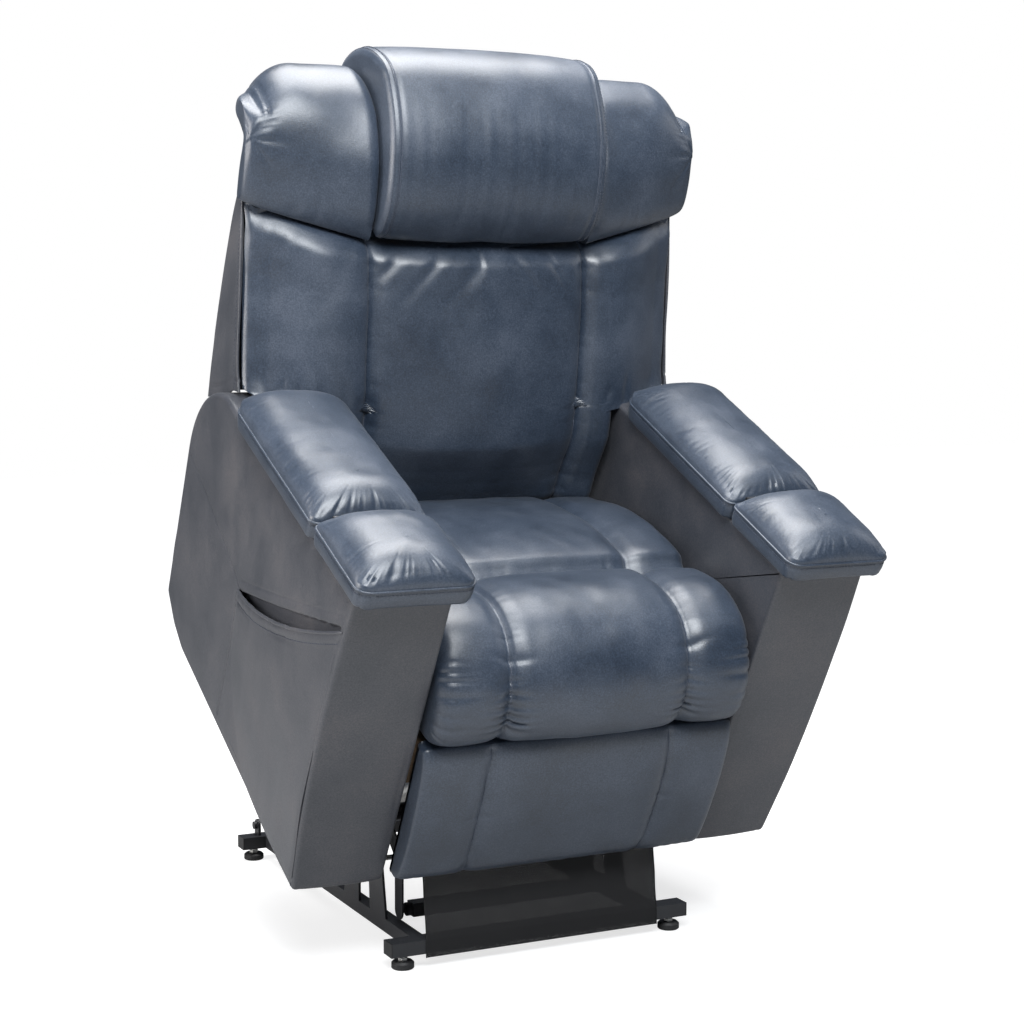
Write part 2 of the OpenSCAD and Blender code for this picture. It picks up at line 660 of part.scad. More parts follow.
module seat_webbing() color("tan") at_chair() {
    span = seat_rail_y + board_t - box_front_y;
    gap = (2 * box_in - 5 * strap_w) / 6;
    for (i = [0:4]) translate([-box_in + gap + i * (strap_w + gap), box_front_y, box_top])
        cube([strap_w, span, 1.5]);
    for (i = [0:3]) translate([-box_in, box_front_y + (i + 0.5) * span / 4 - strap_w / 2, box_top + 1.5])
        cube([2 * box_in, strap_w, 1.5]);
}
module back_brackets() color(dark_steel) at_chair() both_sides() {
    plate(box_in - 5, 5) difference() {
        union() {
            disc(back_pivot, 18);
            polygon([[back_pivot.x - 60, box_z + 6], [back_pivot.x + 26, box_z + 6],
                [back_pivot.x + 18, back_pivot.y], [back_pivot.x - 18, back_pivot.y]]);
        }
        disc(back_pivot, bolt_r);
    }
    pin(back_pivot, bolt_r, box_in - 16, 16);
}
seat_half = arm_in - seat_gap;
seat_outline = [[494, 330, 0], [496, 376, 0.3], [468, 402, 1], [400, 433, 1], [322, 457, 1], [246, 470, 1],
    [190, 472, 1], [163, 463, 1], [126, 484, 1], [60, 503, 1], [-4, 496, 1], [-48, 468, 1],
    [-80, 424, 1], [-92, 376, 1], [-86, 334, 1], [-60, 311, 0.6], [-20, 308, 0], [120, 307, 0],
    [300, 307, 0], [440, 308, 0]];
function seat_panel_drop(x) = abs(x) < seat_seam_x
    ? 5 * pow(x / seat_seam_x, 2)
    : 5 + 5 * pow((abs(x) - (seat_seam_x + seat_half) / 2) / ((seat_half - seat_seam_x) / 2), 2);
module seat_cushion() color(leather_blue) at_chair() {
    curve = closed_curve(seat_outline, 2);
    stations = mirrored(concat([50, 100, seat_seam_x - seam_half_w, seat_seam_x - seam_half_w / 2,
        seat_seam_x, seat_seam_x + seam_half_w / 2, seat_seam_x + seam_half_w,
        (seat_seam_x + seat_half) / 2], end_steps(seat_half, seat_end_r, 3)));
    skin([for (x = stations) inset_ring(curve, x, end_round(x, seat_half, seat_end_r),
        seat_panel_drop(x) + seam_depth * valley(x, seat_seam_x, seam_half_w))]);
}

// ---- arms ----
arm_foot_y = arm_front_y + arm_front_lean;
arm_arc = [arm_rear_y - arm_rear_r, arm_top_rear - arm_rear_r];
// the padded side swells over its front half: a shallow dome cut from a great ball
dome_r = (dome_reach * dome_reach + dome_rise * dome_rise) / (2 * dome_rise);
module dome(e) translate([arm_out + dome_rise - dome_r, dome_y, dome_z]) sphere(r = dome_r - e, $fn = 720);
module dome_half(e) intersection() {
    plate(arm_out - 1 - e, dome_rise + 1) arm_outline(0);
    dome(e);
}
// the arm's side outline, drawn in by e
module arm_outline(e) {
    polygon([[arm_foot_y + e, arm_z + e], [arm_rear_y - arm_cut_len, arm_z - 3 + e],
        [arm_rear_y - arm_cut_len / 2, arm_z + 12 + e], [arm_rear_y - e, arm_z + arm_cut_h],
        [arm_rear_y - e, arm_arc.y], arm_arc + [0, arm_rear_r - e], [arm_front_y + e, arm_top_front - e]]);
    disc(arm_arc, arm_rear_r - e);
}
pocket_front_y = arm_front_y + pocket_inset;
module pocket_hole(e) polygon([[pocket_front_y + arm_front_lean + e, arm_z + 12 + e],
    [pocket_rear_y - e, arm_z + 8 + e], [pocket_rear_y - 2 - e, 312], [pocket_front_y + 3 + e, 520]]);
// the lip hangs in a curve from the front edge to the rear seam
lip = [for (i = [0:8]) let (s = i / 8)
    [pocket_front_y + 3 + s * (pocket_rear_y - 5 - pocket_front_y),
        520 - 212 * s - 150 * s * (1 - s)]];
module pocket_front() polygon(concat([[pocket_front_y + arm_front_lean, arm_z + 12],
    [pocket_rear_y, arm_z + 8]], [for (i = [8:-1:0]) lip[i]]));
well_x = arm_out - arm_w / 2;
well_y = (arm_front_y + lid_rear_y) / 2 - 2;
function arm_top(y) = arm_top_front + (y - arm_front_y) * (arm_top_rear - arm_top_front)
    / (arm_arc.x - arm_front_y);
module well_space(grow) translate([well_x - well_w / 2 - grow, well_y - well_len / 2 - grow,
    arm_top(well_y) - well_d - grow]) cube([well_w + 2 * grow, well_len + 2 * grow, well_d + 60]);
module arm_cover(pocket) difference() {
    union() {
        plate(arm_in, arm_w) arm_outline(0);
        dome_half(0);
    }
    plate(arm_in + cover_t, arm_w - 2 * cover_t) arm_outline(cover_t);
    translate([arm_in + cover_t, 60, arm_z - 10]) cube([arm_w - 2 * cover_t, 430, 30]);
    well_space(well_wall);
    if (pocket) plate(arm_out - cover_t - 1, cover_t + dome_rise + 2) pocket_hole(0);
}
// side of a lightening hole in an arm's board
frame_window = 118;
module arm_frame() {
    difference() {
        plate(arm_in + cover_t, 12) arm_outline(cover_t);
        plate(arm_in + cover_t - 1, 14) for (y = [60, 240, 460], z = [110, 260])
            translate([y, z]) square(frame_window);
    }
    cross_in = arm_in + cover_t + 12 + weld_gap;
    deep = arm_w - 2 * cover_t - 12 - weld_gap;
    translate([cross_in, arm_foot_y + 30, 100]) cube([deep - pocket_d, board_t, 250]);
    translate([cross_in, 420, 100]) cube([deep, board_t, 350]);
    translate([cross_in, 640, 120]) cube([deep, board_t, 260]);
}
module arm_frame_left() color(wood) at_chair() arm_frame();
module arm_frame_right() color(wood) at_chair() mirror([1, 0, 0]) arm_frame();
module arm_cover_left() color(leather_blue) at_chair() arm_cover(false);
module arm_cover_right() color(leather_blue) at_chair() mirror([1, 0, 0]) arm_cover(true);
module side_pocket() color(leather_blue) at_chair() mirror([1, 0, 0]) difference() {
    intersection() {
        plate(arm_out - pocket_d, pocket_d + dome_rise) pocket_hole(0);
        pocket_swell(0);
    }
    intersection() {
        plate(arm_out - pocket_d + pocket_t, pocket_d + dome_rise) pocket_hole(pocket_t);
        pocket_swell(pocket_t);
    }
    plate(arm_out - pocket_d + pocket_t, pocket_d + dome_rise) difference() {
        pocket_hole(0);
        pocket_front();
    }
}
module pocket_swell(e) {
    plate(arm_in, arm_w - e) pocket_hole(0);
    dome(e);
}
module storage_well() difference() {
    intersection() {
        well_space(well_wall);
        plate(arm_in, arm_w) arm_outline(0);
    }
    well_space(0);
}
module storage_well_left() color(plastic_black) at_chair() storage_well();
module storage_well_right() color(plastic_black) at_chair() mirror([1, 0, 0]) storage_well();

// ---- arm pads ----
pad_mid_x = arm_out + pad_over - pad_w / 2;
// a pad's cross section in x and height: flat below, upright bands, a crowned top
pad_section = [[-0.49, 0, 0], [-0.5, 0.5, 0], [-0.48, 1, 0], [-0.42, 1, 0.45], [-0.32, 1, 0.74],
    [-0.17, 1, 0.98], [0, 1, 1.1], [0.17, 1, 1.17], [0.32, 1, 1.12], [0.42, 1, 0.92], [0.487, 1, 0.3],
    [0.5, 0.5, 0], [0.49, 0, 0]];
function pad_ring(y, band, crown, width, drop) = [for (p = pad_section)
    [pad_mid_x + p.x * width, y, arm_top(y) + drop + 0.3 + p.y * band + (p.y < 1 ? 0 : p.z * crown)]];
function pad_end(y, y0, y1, r) = let (e = min(y - y0, y1 - y), s = max(0, 1 - e / r))
    sqrt(max(0, 1 - s * s));
module pad_form(y0, y1, r, lift) {
    n = 11;
    ends = [for (i = [0:4]) r * (1 - cos(90 * i / 4))];
    stations = concat([for (e = ends) y0 + e], [for (i = [1:n - 7]) y0 + r + (y1 - y0 - 2 * r) * i / (n - 6)],
        [for (i = [4:-1:0]) y1 - ends[i]]);
    skin([for (y = stations) let (k = pad_end(y, y0, y1, r))
        pad_ring(y, pad_band * (0.45 + 0.55 * k), pad_crown * (0.12 + 0.88 * k), pad_w - 26 * (1 - k), lift)]);
}
module arm_pad() pad_form(lid_rear_y + pad_gap, pad_rear_y, 60, 0);
module lid_pad() pad_form(lid_front_y, lid_rear_y, 46, 3.6);
// a lid turns about a pin high in the gap between the two pads
lid_pivot = [lid_rear_y + pad_gap / 2, arm_top(lid_rear_y) + lid_pin_h];
lid_low = arm_top(lid_rear_y) + 0.3;
module lid_plate() difference() {
    plate(arm_in + 12, arm_w - 24) union() {
        polygon([[arm_front_y + 4, arm_top(arm_front_y + 4) + 0.3], [lid_pivot.x - 0.5, lid_low],
            [lid_pivot.x - 0.5, lid_low + 3], [arm_front_y + 4, arm_top(arm_front_y + 4) + 3.3]]);
        polygon([[lid_pivot.x - 2.5, lid_low], [lid_pivot.x - 0.5, lid_low],
            [lid_pivot.x - 0.5, lid_pivot.y], [lid_pivot.x - 2.5, lid_pivot.y]]);
        disc(lid_pivot, lid_eye_r);
    }
    plate(arm_in, arm_w) disc(lid_pivot, lid_pin_r + run_fit);
    lid_knuckles(1, 0.5);
}
// the carriage's knuckles, or the room for them when grown by g
module lid_knuckles(on, g) for (x = [-34, 34]) plate(well_x + x - 11 - g, 22 + 2 * g)
    disc(lid_pivot, lid_eye_r + g);
module arm_pad_left() color(leather_blue) at_chair() arm_pad();
module arm_pad_right() color(leather_blue) at_chair() mirror([1, 0, 0]) arm_pad();
module lid_plate_left() color(steel) at_chair() lid_plate();
module lid_plate_right() color(steel) at_chair() mirror([1, 0, 0]) lid_plate();
module lid_pad_left() color(leather_blue) at_chair() lid_pad();
module lid_pad_right() color(leather_blue) at_chair() mirror([1, 0, 0]) lid_pad();
module lid_hinges() color("silver") at_chair() both_sides() {
    lid_knuckles(0, 0);
    plate(well_x - 45, 90) disc(lid_pivot, lid_pin_r);
    plate(arm_in + 12, arm_w - 24) polygon([[lid_pivot.x + 0.5, lid_low],
        [lid_pivot.x + 2.5, lid_low], [lid_pivot.x + 2.5, lid_pivot.y - lid_eye_r - 0.5],
        [lid_pivot.x + 0.5, lid_pivot.y - lid_eye_r - 0.5]]);
    for (x = [-34, 34]) plate(well_x + x - 11, 22) polygon([[lid_pivot.x + 0.5, lid_pivot.y - lid_eye_r - 1],
        [lid_pivot.x + 2.5, lid_pivot.y - lid_eye_r - 1], [lid_pivot.x + 2.5, lid_pivot.y],
        [lid_pivot.x + 0.5, lid_pivot.y]]);
}

// ---- footrest ----
module footrest_drive_links() color(steel) at_chair() both_sides() {
    plate(foot_drive_x, foot_link_t) difference() {
        strip(foot_pivot, foot_knee, foot_link_r);
        disc(foot_pivot, foot_bolt_r + run_fit);
        disc(foot_knee, foot_bolt_r);
    }
    pin(foot_knee, foot_bolt_r, foot_arm_x - 1, foot_drive_x + foot_link_t - foot_arm_x + 1);
    pin(foot_knee, foot_bolt_r + 3, foot_arm_x + foot_link_t + 0.4, foot_drive_x - foot_arm_x - foot_link_t - 0.4);
    pin(foot_knee, foot_bolt_r + 3, foot_arm_x - 3.4, 3);
}
module footrest_arm_links() color(steel) at_chair() both_sides() {
    plate(foot_arm_x, foot_link_t) difference() {
        strip(foot_knee, foot_end, foot_link_r);
        disc(foot_knee, foot_bolt_r + run_fit);
        disc(foot_end, foot_bolt_r + run_fit);
    }
}
module footrest_lugs() color(steel) at_chair() both_sides() {
    plate(foot_drive_x, foot_link_t) difference() {
        union() {
            disc(foot_end, foot_link_r);
            polygon([foot_end + [0, foot_link_r], foot_end - [0, foot_link_r],
                [foot_board_y, foot_end.y - 40], [foot_board_y, foot_end.y + 40]]);
        }
        disc(foot_end, foot_bolt_r);
    }
    pin(foot_end, foot_bolt_r, foot_arm_x - 1, foot_drive_x + foot_link_t - foot_arm_x + 1);
    pin(foot_end, foot_bolt_r + 3, foot_arm_x + foot_link_t + 0.4, foot_drive_x - foot_arm_x - foot_link_t - 0.4);
    pin(foot_end, foot_bolt_r + 3, foot_arm_x - 3.4, 3);
}
module footrest_board() color(wood) at_chair() box([-seat_half + 8, foot_board_y - foot_board_t, foot_board_z],
    [seat_half - 8, foot_board_y, foot_board_z + foot_board_h]);
module footrest_pad() color(leather_blue) at_chair() {
    y = foot_board_y - foot_board_t - 0.8;
    z0 = foot_board_z - 1;
    z1 = foot_board_z + foot_board_h - 0.6;
    outline = [[y, z0 + 6, 0], [y, z0 + 14, 0], [y, z1 - 14, 0], [y, z1 - 6, 0], [y - foot_pad_t * 0.3, z1, 0.5],
        [y - foot_pad_t * 0.72, z1 - 30, 1], [y - foot_pad_t * 0.95, z1 - 80, 1],
        [y - foot_pad_t, (z0 + z1) / 2 - 5, 1], [y - foot_pad_t * 0.93, z0 + 60, 1],
        [y - foot_pad_t * 0.66, z0 + 20, 1], [y - foot_pad_t * 0.25, z0, 0.5]];
    curve = closed_curve(outline, 2);
    stations = mirrored(concat([60, 110, seat_seam_x - 5, seat_seam_x + 5, seat_seam_x + 15, 210],
        end_steps(seat_half, 12, 3)));
    skin([for (x = stations) inset_ring(curve, x, end_round(x, seat_half, 12) * 0.6,
        4 * valley(x, seat_seam_x + 5, 11))]);
}

// ---- back ----
// Y of the cushion's seams and of its outer edge by height
seam_line = [[410, 509], [482, 503], [511, 507], [562, 524], [641, 553], [719, 584], [797, 615], [860, 640]];
edge_line = [[555, 569], [584, 590], [637, 614], [700, 638], [773, 663], [842, 690]];
back_half = back_w / 2;
low_half = back_low_w / 2;
cushion_half = back_half - shell_t - back_taper / 2 - shell_gap;
// the bend of the arms between the back's pivot and its uprights
back_elbow = back_pivot + [55, 22];
module back_pivot_frame() color(dark_steel) at_chair() {
    difference() {
        union() {
            both_sides() plate(box_in - 11, 5) union() {
                strip(back_pivot, back_elbow, 17);
                strip(back_elbow, frame_point(440) + [upright_d / 2, 0], 17);
                disc(back_pivot, 20);
            }
            pin(back_pivot, 13, -box_in + 11, 2 * box_in - 22);
            translate([back_motor_x, 0, 0]) both_sides() plate(ear_gap + 0.5, 4)
                strip(back_pivot, back_lever, 13);
            pin(back_lever, act_pin_r, back_motor_x - ear_gap - 7, 2 * ear_gap + 14);
        }
        both_sides() pin(back_pivot, bolt_r + run_fit, box_in - 20, 20);
    }
}
function frame_point(z) = [lookup(z, seam_line) + back_pad_t - frame_set, z];
frame_low = frame_point(425);
frame_high = [frame_point(797).x + 14, 880];
module upright_outline() polygon([frame_low, frame_low + [upright_d, 0], frame_high + [22, 0], frame_high]);
upright_x = box_in - 11 - upright_t;
module back_uprights() color(wood) at_chair() both_sides() plate(upright_x, upright_t) upright_outline();
module back_rails() color(wood) at_chair() for (z = [426, 630, 842]) plate(-upright_x, 2 * upright_x)
    intersection() {
        upright_outline();
        translate([0, z]) square([1000, 36]);
    }
// the side panels' top seam rises towards the outer edge
function back_side_share(x) = max(0, (abs(x) - back_seam_x) / (cushion_half - back_seam_x));
// one slice of the back cushion, as seen from above
function back_slice(z, half, pull) =
    let (y0 = lookup(z, seam_line), edge = lookup(max(z, 555), edge_line) - y0,
        r = y0 + back_pad_t - 28 * max(0, (470 - z) / 96) - 15 * max(0, (z - 700) / 100),
        xs = mirrored([60, 120, 165, 183, back_seam_x, 207, 225, 260, 310, 350, 375, 385]),
        k = half / 385, top_rise = 38 * max(0, (z - 734) / 63),
        places = [for (x = xs) abs(x) < 230 || k == 1 ? x : (230 + (abs(x) - 230) * (half - 230) / 155) * sign(x)])
    concat([for (i = [0:len(xs) - 1]) let (x = xs[i], a = abs(x), inner = a < back_seam_x,
            bulge = inner ? -back_crown * min(1, (z - 380) / 110) * (1 - pow(a / back_seam_x, 2))
                : edge * pow((a - back_seam_x) / (385 - back_seam_x), 2.2)
                    - 12 * sin(180 * min(1, (a - back_seam_x) / 150)))
            [places[i], y0 + pull + (k < 1 && a > 230 ? bulge * 0.25 : bulge)
                + 9 * valley(x, back_seam_x, 20), z + top_rise * back_side_share(places[i])]],
        [for (i = [len(xs) - 1:-1:0]) [places[i], r, z + top_rise * back_side_share(places[i])]]);
module back_cushion() color(leather_blue) at_chair() {
    low = low_half - 3;
    slices = concat([[374, low, 22], [382, low, 8], [402, low, 0], [450, low, 0], [500, low, 0], [559, low, 0]],
        [for (z = [564, 600, 650, 700, 745, 775]) [z, cushion_half, 0]],
        [[787, cushion_half, 7], [797, cushion_half, 24]]);
    skin([for (s = slices) back_slice(s[0], s[1], s[2])], true);
}
shell_rear = [[745, 464], [754, 535], [760, 640], [761, 740], [755, 812], [738, 880], [722, 948]];
shell_front = [[712, 946], [715, 892], [703, 842], [670, 773], [640, 700], [616, 637], [592, 584], [574, 560]];
// the shell seen from above, drawn in by e: wide at its front edges and narrower at the rear
module shell_plan(e) translate([0, 0, 400]) linear_extrude(600) polygon([
    [-back_half + e, 540], [back_half - e, 540], [back_half - e, 600], [back_half - back_taper - e, 762],
    [-back_half + back_taper + e, 762], [-back_half + e, 600]]);
module back_shell() color(leather_blue) at_chair() difference() {
    intersection() {
        plate(-back_half, back_w) polygon(concat([[577, 553], [608, 541], [640, 519]], shell_rear, shell_front));
        shell_plan(0);
    }
    intersection() {
        plate(-back_half, back_w) translate([-shell_t, -shell_t])
            polygon(concat([[400, 300]], [[745, 300]], shell_rear, [[600, 948]]));
        shell_plan(shell_t);
    }
}
module back_lower_panel() color(leather_blue) at_chair() plate(-low_half, back_low_w)
    polygon([[745 - shell_t, 466], [745 - shell_t - 5, 466], [728, 400], [690, 300], [695, 296], [733, 398]]);
wing_outline = [[626, 804, 0], [609, 832, 1], [612, 876, 1], [632, 936, 1], [672, 994, 1], [722, 1030, 1],
    [778, 1036, 1], [818, 1010, 1], [822, 974, 1], [792, 959, 0.4], [750, 954.4, 0], [714, 947.2, 0],
    [699, 938, 0], [697, 895, 0], [686, 845, 0], [665, 804, 0]];
wing_in = head_w / 2 + 4;
wing_out = back_half + 6;
wing_round = 95;
// the height at which a wing lies on the back's shell
wing_seat_z = 952;
// towards its outer end a wing is pulled down and back, and its lower seam rises
function wing_point(p, x) =
    let (s = (x - wing_in) / (wing_out - wing_in), e = min(1, end_round(x, wing_out, wing_round) / wing_round),
        y = p.x + 50 * s * max(0, (700 - p.x) / 90) + 20 * e * max(0, (720 - p.x) / 110)
            - 70 * e * max(0, (p.x - 735) / 80),
        z = p.y + 40 * s * max(0, (900 - p.y) / 94) - (p.z > 0 ? (p.x < 690 ? 70 : 140) * e * max(0, (p.y - 900) / 140) : 0))
    [y, p.x > 690 && p.y > 950 ? max(z, wing_seat_z + 0.4 * (p.y - 950)) : z, p.z];
// the headrest and the wings' inner ends spread towards the rear
function spread(ring, k) = [for (p = ring) [p.x * (1 + 0.06 * k * max(0, (p.y - 680) / 170)), p.y, p.z]];
module wing() {
    stations = concat([wing_in, wing_in + 3, wing_in + 12, 240, 275],
        [for (i = [0:5]) wing_out - wing_round + wing_round * sin(90 * i / 5)]);
    skin([for (x = stations) spread(inset_ring(closed_curve([for (i = [len(wing_outline) - 1:-1:0])
        wing_point(wing_outline[i], x)], 2), x, 6 * valley(x, wing_in, 12), end_round(x, wing_out, 20) * 0.12),
        (wing_out - x) / (wing_out - wing_in))], true);
    // the gathered ear behind the wing's outer end
    difference() {
        translate([wing_out - 20, 705, 928]) scale([0.42, 0.95, 1.1]) sphere(r = 46, $fn = 24);
        plate(wing_out - 60, 80) polygon([[698, 950], [701, 892], [688, 842], [660, 780], [800, 780], [800, 950]]);
    }
}
module wing_left() color(leather_blue) at_chair() wing();
module wing_right() color(leather_blue) at_chair() mirror([1, 0, 0]) wing();

// ---- headrest ----
board_top = [695.5, 936];
module headrest_board() color(wood) at_chair() plate(-head_w / 2 + 24, head_w - 48) {
    up = unit(board_top - head_pivot);
    thick = left_of(up) * head_board_t;
    difference() {
        union() {
            polygon([head_pivot + up * 8, board_top, board_top + thick, head_pivot + up * 8 + thick]);
            disc(head_pivot, 9);
        }
        disc(head_pivot, 4 + run_fit);
    }
}
module headrest_hinge() color("silver") at_chair() {
    pin(head_pivot, 4, -head_w / 2 + 10, head_w - 20);
    both_sides() plate(head_w / 2 - 20, 6) difference() {
        strip(head_pivot, [frame_high.x + 4, 866], 8);
        upright_outline();
    }
}
pillow_outline = [[616, 808, 1], [594, 830, 1], [581, 880, 1], [584, 936, 1], [606, 1000, 1], [650, 1054, 1],
    [706, 1079, 1], [766, 1080, 1], [820, 1057, 1], [856, 1018, 1], [856, 978, 1], [822, 959, 0.3],
    [760, 964, 0], [692, 952, 0], [672, 900, 0], [649, 836, 0], [637, 812, 0]];
module headrest_pillow() color(leather_blue) at_chair() {
    curve = closed_curve([for (i = [len(pillow_outline) - 1:-1:0]) pillow_outline[i]], 2);
    stations = mirrored(concat([50, 100, 150], end_steps(head_w / 2, 16, 4)));
    skin([for (x = stations) spread(inset_ring(curve, x, 0,
        end_round(x, head_w / 2, 16) * 0.9 + 6 * pow(abs(x) / (head_w / 2), 3)), 1)]);
}

// ---- back actuator ----
back_tube_len = back_len_in - gearbox_len - 44;
module back_motor() color(plastic_black) at_chair() actuator_at(back_motor_pin, back_a, back_motor_x)
    motor_body(-1);
module back_motor_tube() color("silver") at_chair() actuator_at(back_motor_pin, back_a, back_motor_x)
    actuator_tube(back_tube_len);
module back_rod() color("silver") at_chair() actuator_at(back_lever, back_a, back_motor_x)
    rod_body(back_len_in - gearbox_len - 10, back_slot);

front_floor_bar();
rear_floor_bar();
side_rails();
tube_end_plugs();
levelling_feet();
foot_stems();
riser_plates();
riser_straps();
front_brace_tube();
base_pivot_bolts();
lift_motor_bracket();
rear_lugs();
mesh_apron();
front_lift_links();
rear_lift_links();
lift_motor();
lift_motor_tube();
lift_rod();
carriage_plates();
carriage_tubes();
carriage_bolts();
apron_rod();
seat_box_sides();
seat_box_rails();
seat_webbing();
seat_cushion();
back_brackets();
arm_frame_left();
arm_frame_right();
arm_cover_left();
arm_cover_right();
side_pocket();
storage_well_left();
storage_well_right();
arm_pad_left();
arm_pad_right();
lid_plate_left();
lid_plate_right();
lid_pad_left();
lid_pad_right();
lid_hinges();
footrest_drive_links();
footrest_arm_links();
footrest_board();
footrest_lugs();
footrest_pad();
back_pivot_frame();
back_uprights();
back_rails();
back_cushion();
back_shell();
back_lower_panel();
wing_left();
wing_right();
headrest_hinge();
headrest_board();
headrest_pillow();
back_motor();
back_motor_tube();
back_rod();
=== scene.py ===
import json
import math
import bmesh
import bpy
import numpy as np
from mathutils import Matrix, Vector


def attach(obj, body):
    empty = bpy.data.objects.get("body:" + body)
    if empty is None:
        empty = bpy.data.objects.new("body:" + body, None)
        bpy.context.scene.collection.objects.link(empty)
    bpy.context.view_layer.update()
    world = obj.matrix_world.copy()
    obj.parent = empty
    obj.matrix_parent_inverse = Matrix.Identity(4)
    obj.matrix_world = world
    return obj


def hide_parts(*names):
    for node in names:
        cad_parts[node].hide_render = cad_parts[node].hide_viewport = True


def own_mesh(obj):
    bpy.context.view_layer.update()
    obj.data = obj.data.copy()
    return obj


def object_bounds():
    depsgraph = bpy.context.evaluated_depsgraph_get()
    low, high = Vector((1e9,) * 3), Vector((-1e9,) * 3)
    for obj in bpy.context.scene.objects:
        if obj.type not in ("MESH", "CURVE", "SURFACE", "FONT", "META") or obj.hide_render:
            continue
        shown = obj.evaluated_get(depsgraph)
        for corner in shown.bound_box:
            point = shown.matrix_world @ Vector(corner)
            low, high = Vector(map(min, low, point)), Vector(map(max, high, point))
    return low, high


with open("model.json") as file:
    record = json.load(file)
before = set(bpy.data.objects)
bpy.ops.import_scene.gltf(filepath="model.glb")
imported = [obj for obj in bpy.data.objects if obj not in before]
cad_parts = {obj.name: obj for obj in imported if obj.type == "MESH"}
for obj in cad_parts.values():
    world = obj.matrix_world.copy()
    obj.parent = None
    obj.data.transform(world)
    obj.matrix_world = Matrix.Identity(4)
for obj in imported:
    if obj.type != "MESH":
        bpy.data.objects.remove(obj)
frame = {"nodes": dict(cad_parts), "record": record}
cad_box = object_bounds()

# Shapes are worked out in millimetres with the chair seated, then turned about the lift pole.
TILT = math.radians(27.46)
POLE_Y, POLE_Z, FEET_Y = -240.0, 158.0, -201.0


def chair(points):
    p = np.asarray(points, float)
    y, z = p[..., 1] - POLE_Y, p[..., 2] - POLE_Z
    c, s = math.cos(TILT), math.sin(TILT)
    return np.stack([p[..., 0], POLE_Y + y * c - z * s + FEET_Y, POLE_Z + y * s + z * c], -1) / 1000


def floor(points):
    return (np.asarray(points, float) + [0, FEET_Y, 0]) / 1000


# ---- camera ----
AZ, EL, ROLL = math.radians(-26.11), math.radians(5.78), math.radians(0.14)
back = Vector((math.sin(AZ) * math.cos(EL), -math.cos(AZ) * math.cos(EL), math.sin(EL)))
right = Vector((math.cos(AZ), math.sin(AZ), 0))
up = back.cross(right)
right, up = (math.cos(ROLL) * right + math.sin(ROLL) * up), (-math.sin(ROLL) * right + math.cos(ROLL) * up)
cam_data = bpy.data.cameras.new("camera")
cam_data.sensor_width = 36
cam_data.lens = 2069.7 / 1024 * 36
cam_data.clip_end = 40
camera = bpy.data.objects.new("camera", cam_data)
bpy.context.scene.collection.objects.link(camera)
camera.matrix_world = Matrix.Translation((-1.4684, -3.0922, 1.0316)) @ Matrix(
    ((right.x, up.x, back.x, 0), (right.y, up.y, back.y, 0), (right.z, up.z, back.z, 0), (0, 0, 0, 1)))
bpy.context.scene.camera = camera


# ---- smooth noise and folds ----
def hashed(i, seed):
    v = np.sin(i * 127.1 + seed * 311.7) * 43758.5453
    return 2 * (v - np.floor(v)) - 1


def wave(t, seed):
    """Smooth random values from -1 to 1 along t."""
    i = np.floor(t)
    f = t - i
    f = f * f * (3 - 2 * f)
    return hashed(i, seed) * (1 - f) + hashed(i + 1, seed) * f


def wave2(u, v, seed):
    i, j = np.floor(u), np.floor(v)
    f, g = u - i, v - j
    f, g = f * f * (3 - 2 * f), g * g * (3 - 2 * g)
    h = [[hashed(i + a + 57 * (j + b), seed) for b in (0, 1)] for a in (0, 1)]
    return (h[0][0] * (1 - f) + h[1][0] * f) * (1 - g) + (h[0][1] * (1 - f) + h[1][1] * f) * g


def pucker(s, d, gap, reach, seed):
    """Folds that run away from a seam: s along it and d off it, in mm. From 0 to 1, deepest in the crease."""
    t = s / gap + 0.7 * wave(s / gap * 0.6, seed) + 0.35 * wave(s / gap, seed + 5) * np.clip(d / reach, 0, 2)
    crease = (0.5 + 0.5 * np.cos(2 * math.pi * t)) ** 3
    size = 0.55 + 0.45 * wave(s / gap * 0.9 + 7, seed + 2)
    length = reach * (0.75 + 0.45 * wave(s / gap * 0.8 + 3, seed + 3))
    return crease * size * np.exp(-(np.abs(d) / length) ** 2)


def groove(d, width):
    """1 on a seam and 0 beyond its width, with a sharp bottom."""
    return np.clip(1 - np.abs(d) / width, 0, 1) ** 2


def bump(v, low, high, soft):
    """1 between low and high, fading over soft."""
    return np.clip((v - low) / soft + 0.5, 0, 1) * np.clip((high - v) / soft + 0.5, 0, 1)


# ---- loops and skins ----
def distances(path):
    """How far each point lies along a path from its first one."""
    return np.concatenate([[0], np.cumsum(np.linalg.norm(np.diff(path, axis=0), axis=1))])


def smooth_loop(points, step, closed=True):
    """A Catmull-Rom curve through the points, with its points about step apart."""
    p = np.asarray(points, float)
    n = len(p)
    fine = []
    for i in range(n if closed else n - 1):
        a, b, c, d = ((p[(i + k - 1) % n] if closed else p[min(max(i + k - 1, 0), n - 1)]) for k in range(4))
        for t in np.arange(0, 1, 1 / 24):
            fine.append((2 * b + (c - a) * t + (2 * a - 5 * b + 4 * c - d) * t * t
                         + (3 * b - a - 3 * c + d) * t ** 3) / 2)
    fine.append(p[0] if closed else p[-1])
    return resample(np.array(fine), step, closed)


def resample(fine, step, closed=True):
    """Points about step apart. A closed loop's third column is a weight, which adds no length."""
    s = distances(fine[:, :2] if fine.shape[1] == 3 and closed else fine)
    n = max(4, int(round(s[-1] / step)))
    at = np.linspace(0, s[-1], n + 1)[: n if closed else n + 1]
    return np.stack([np.interp(at, s, fine[:, k]) for k in range(fine.shape[1])], -1)


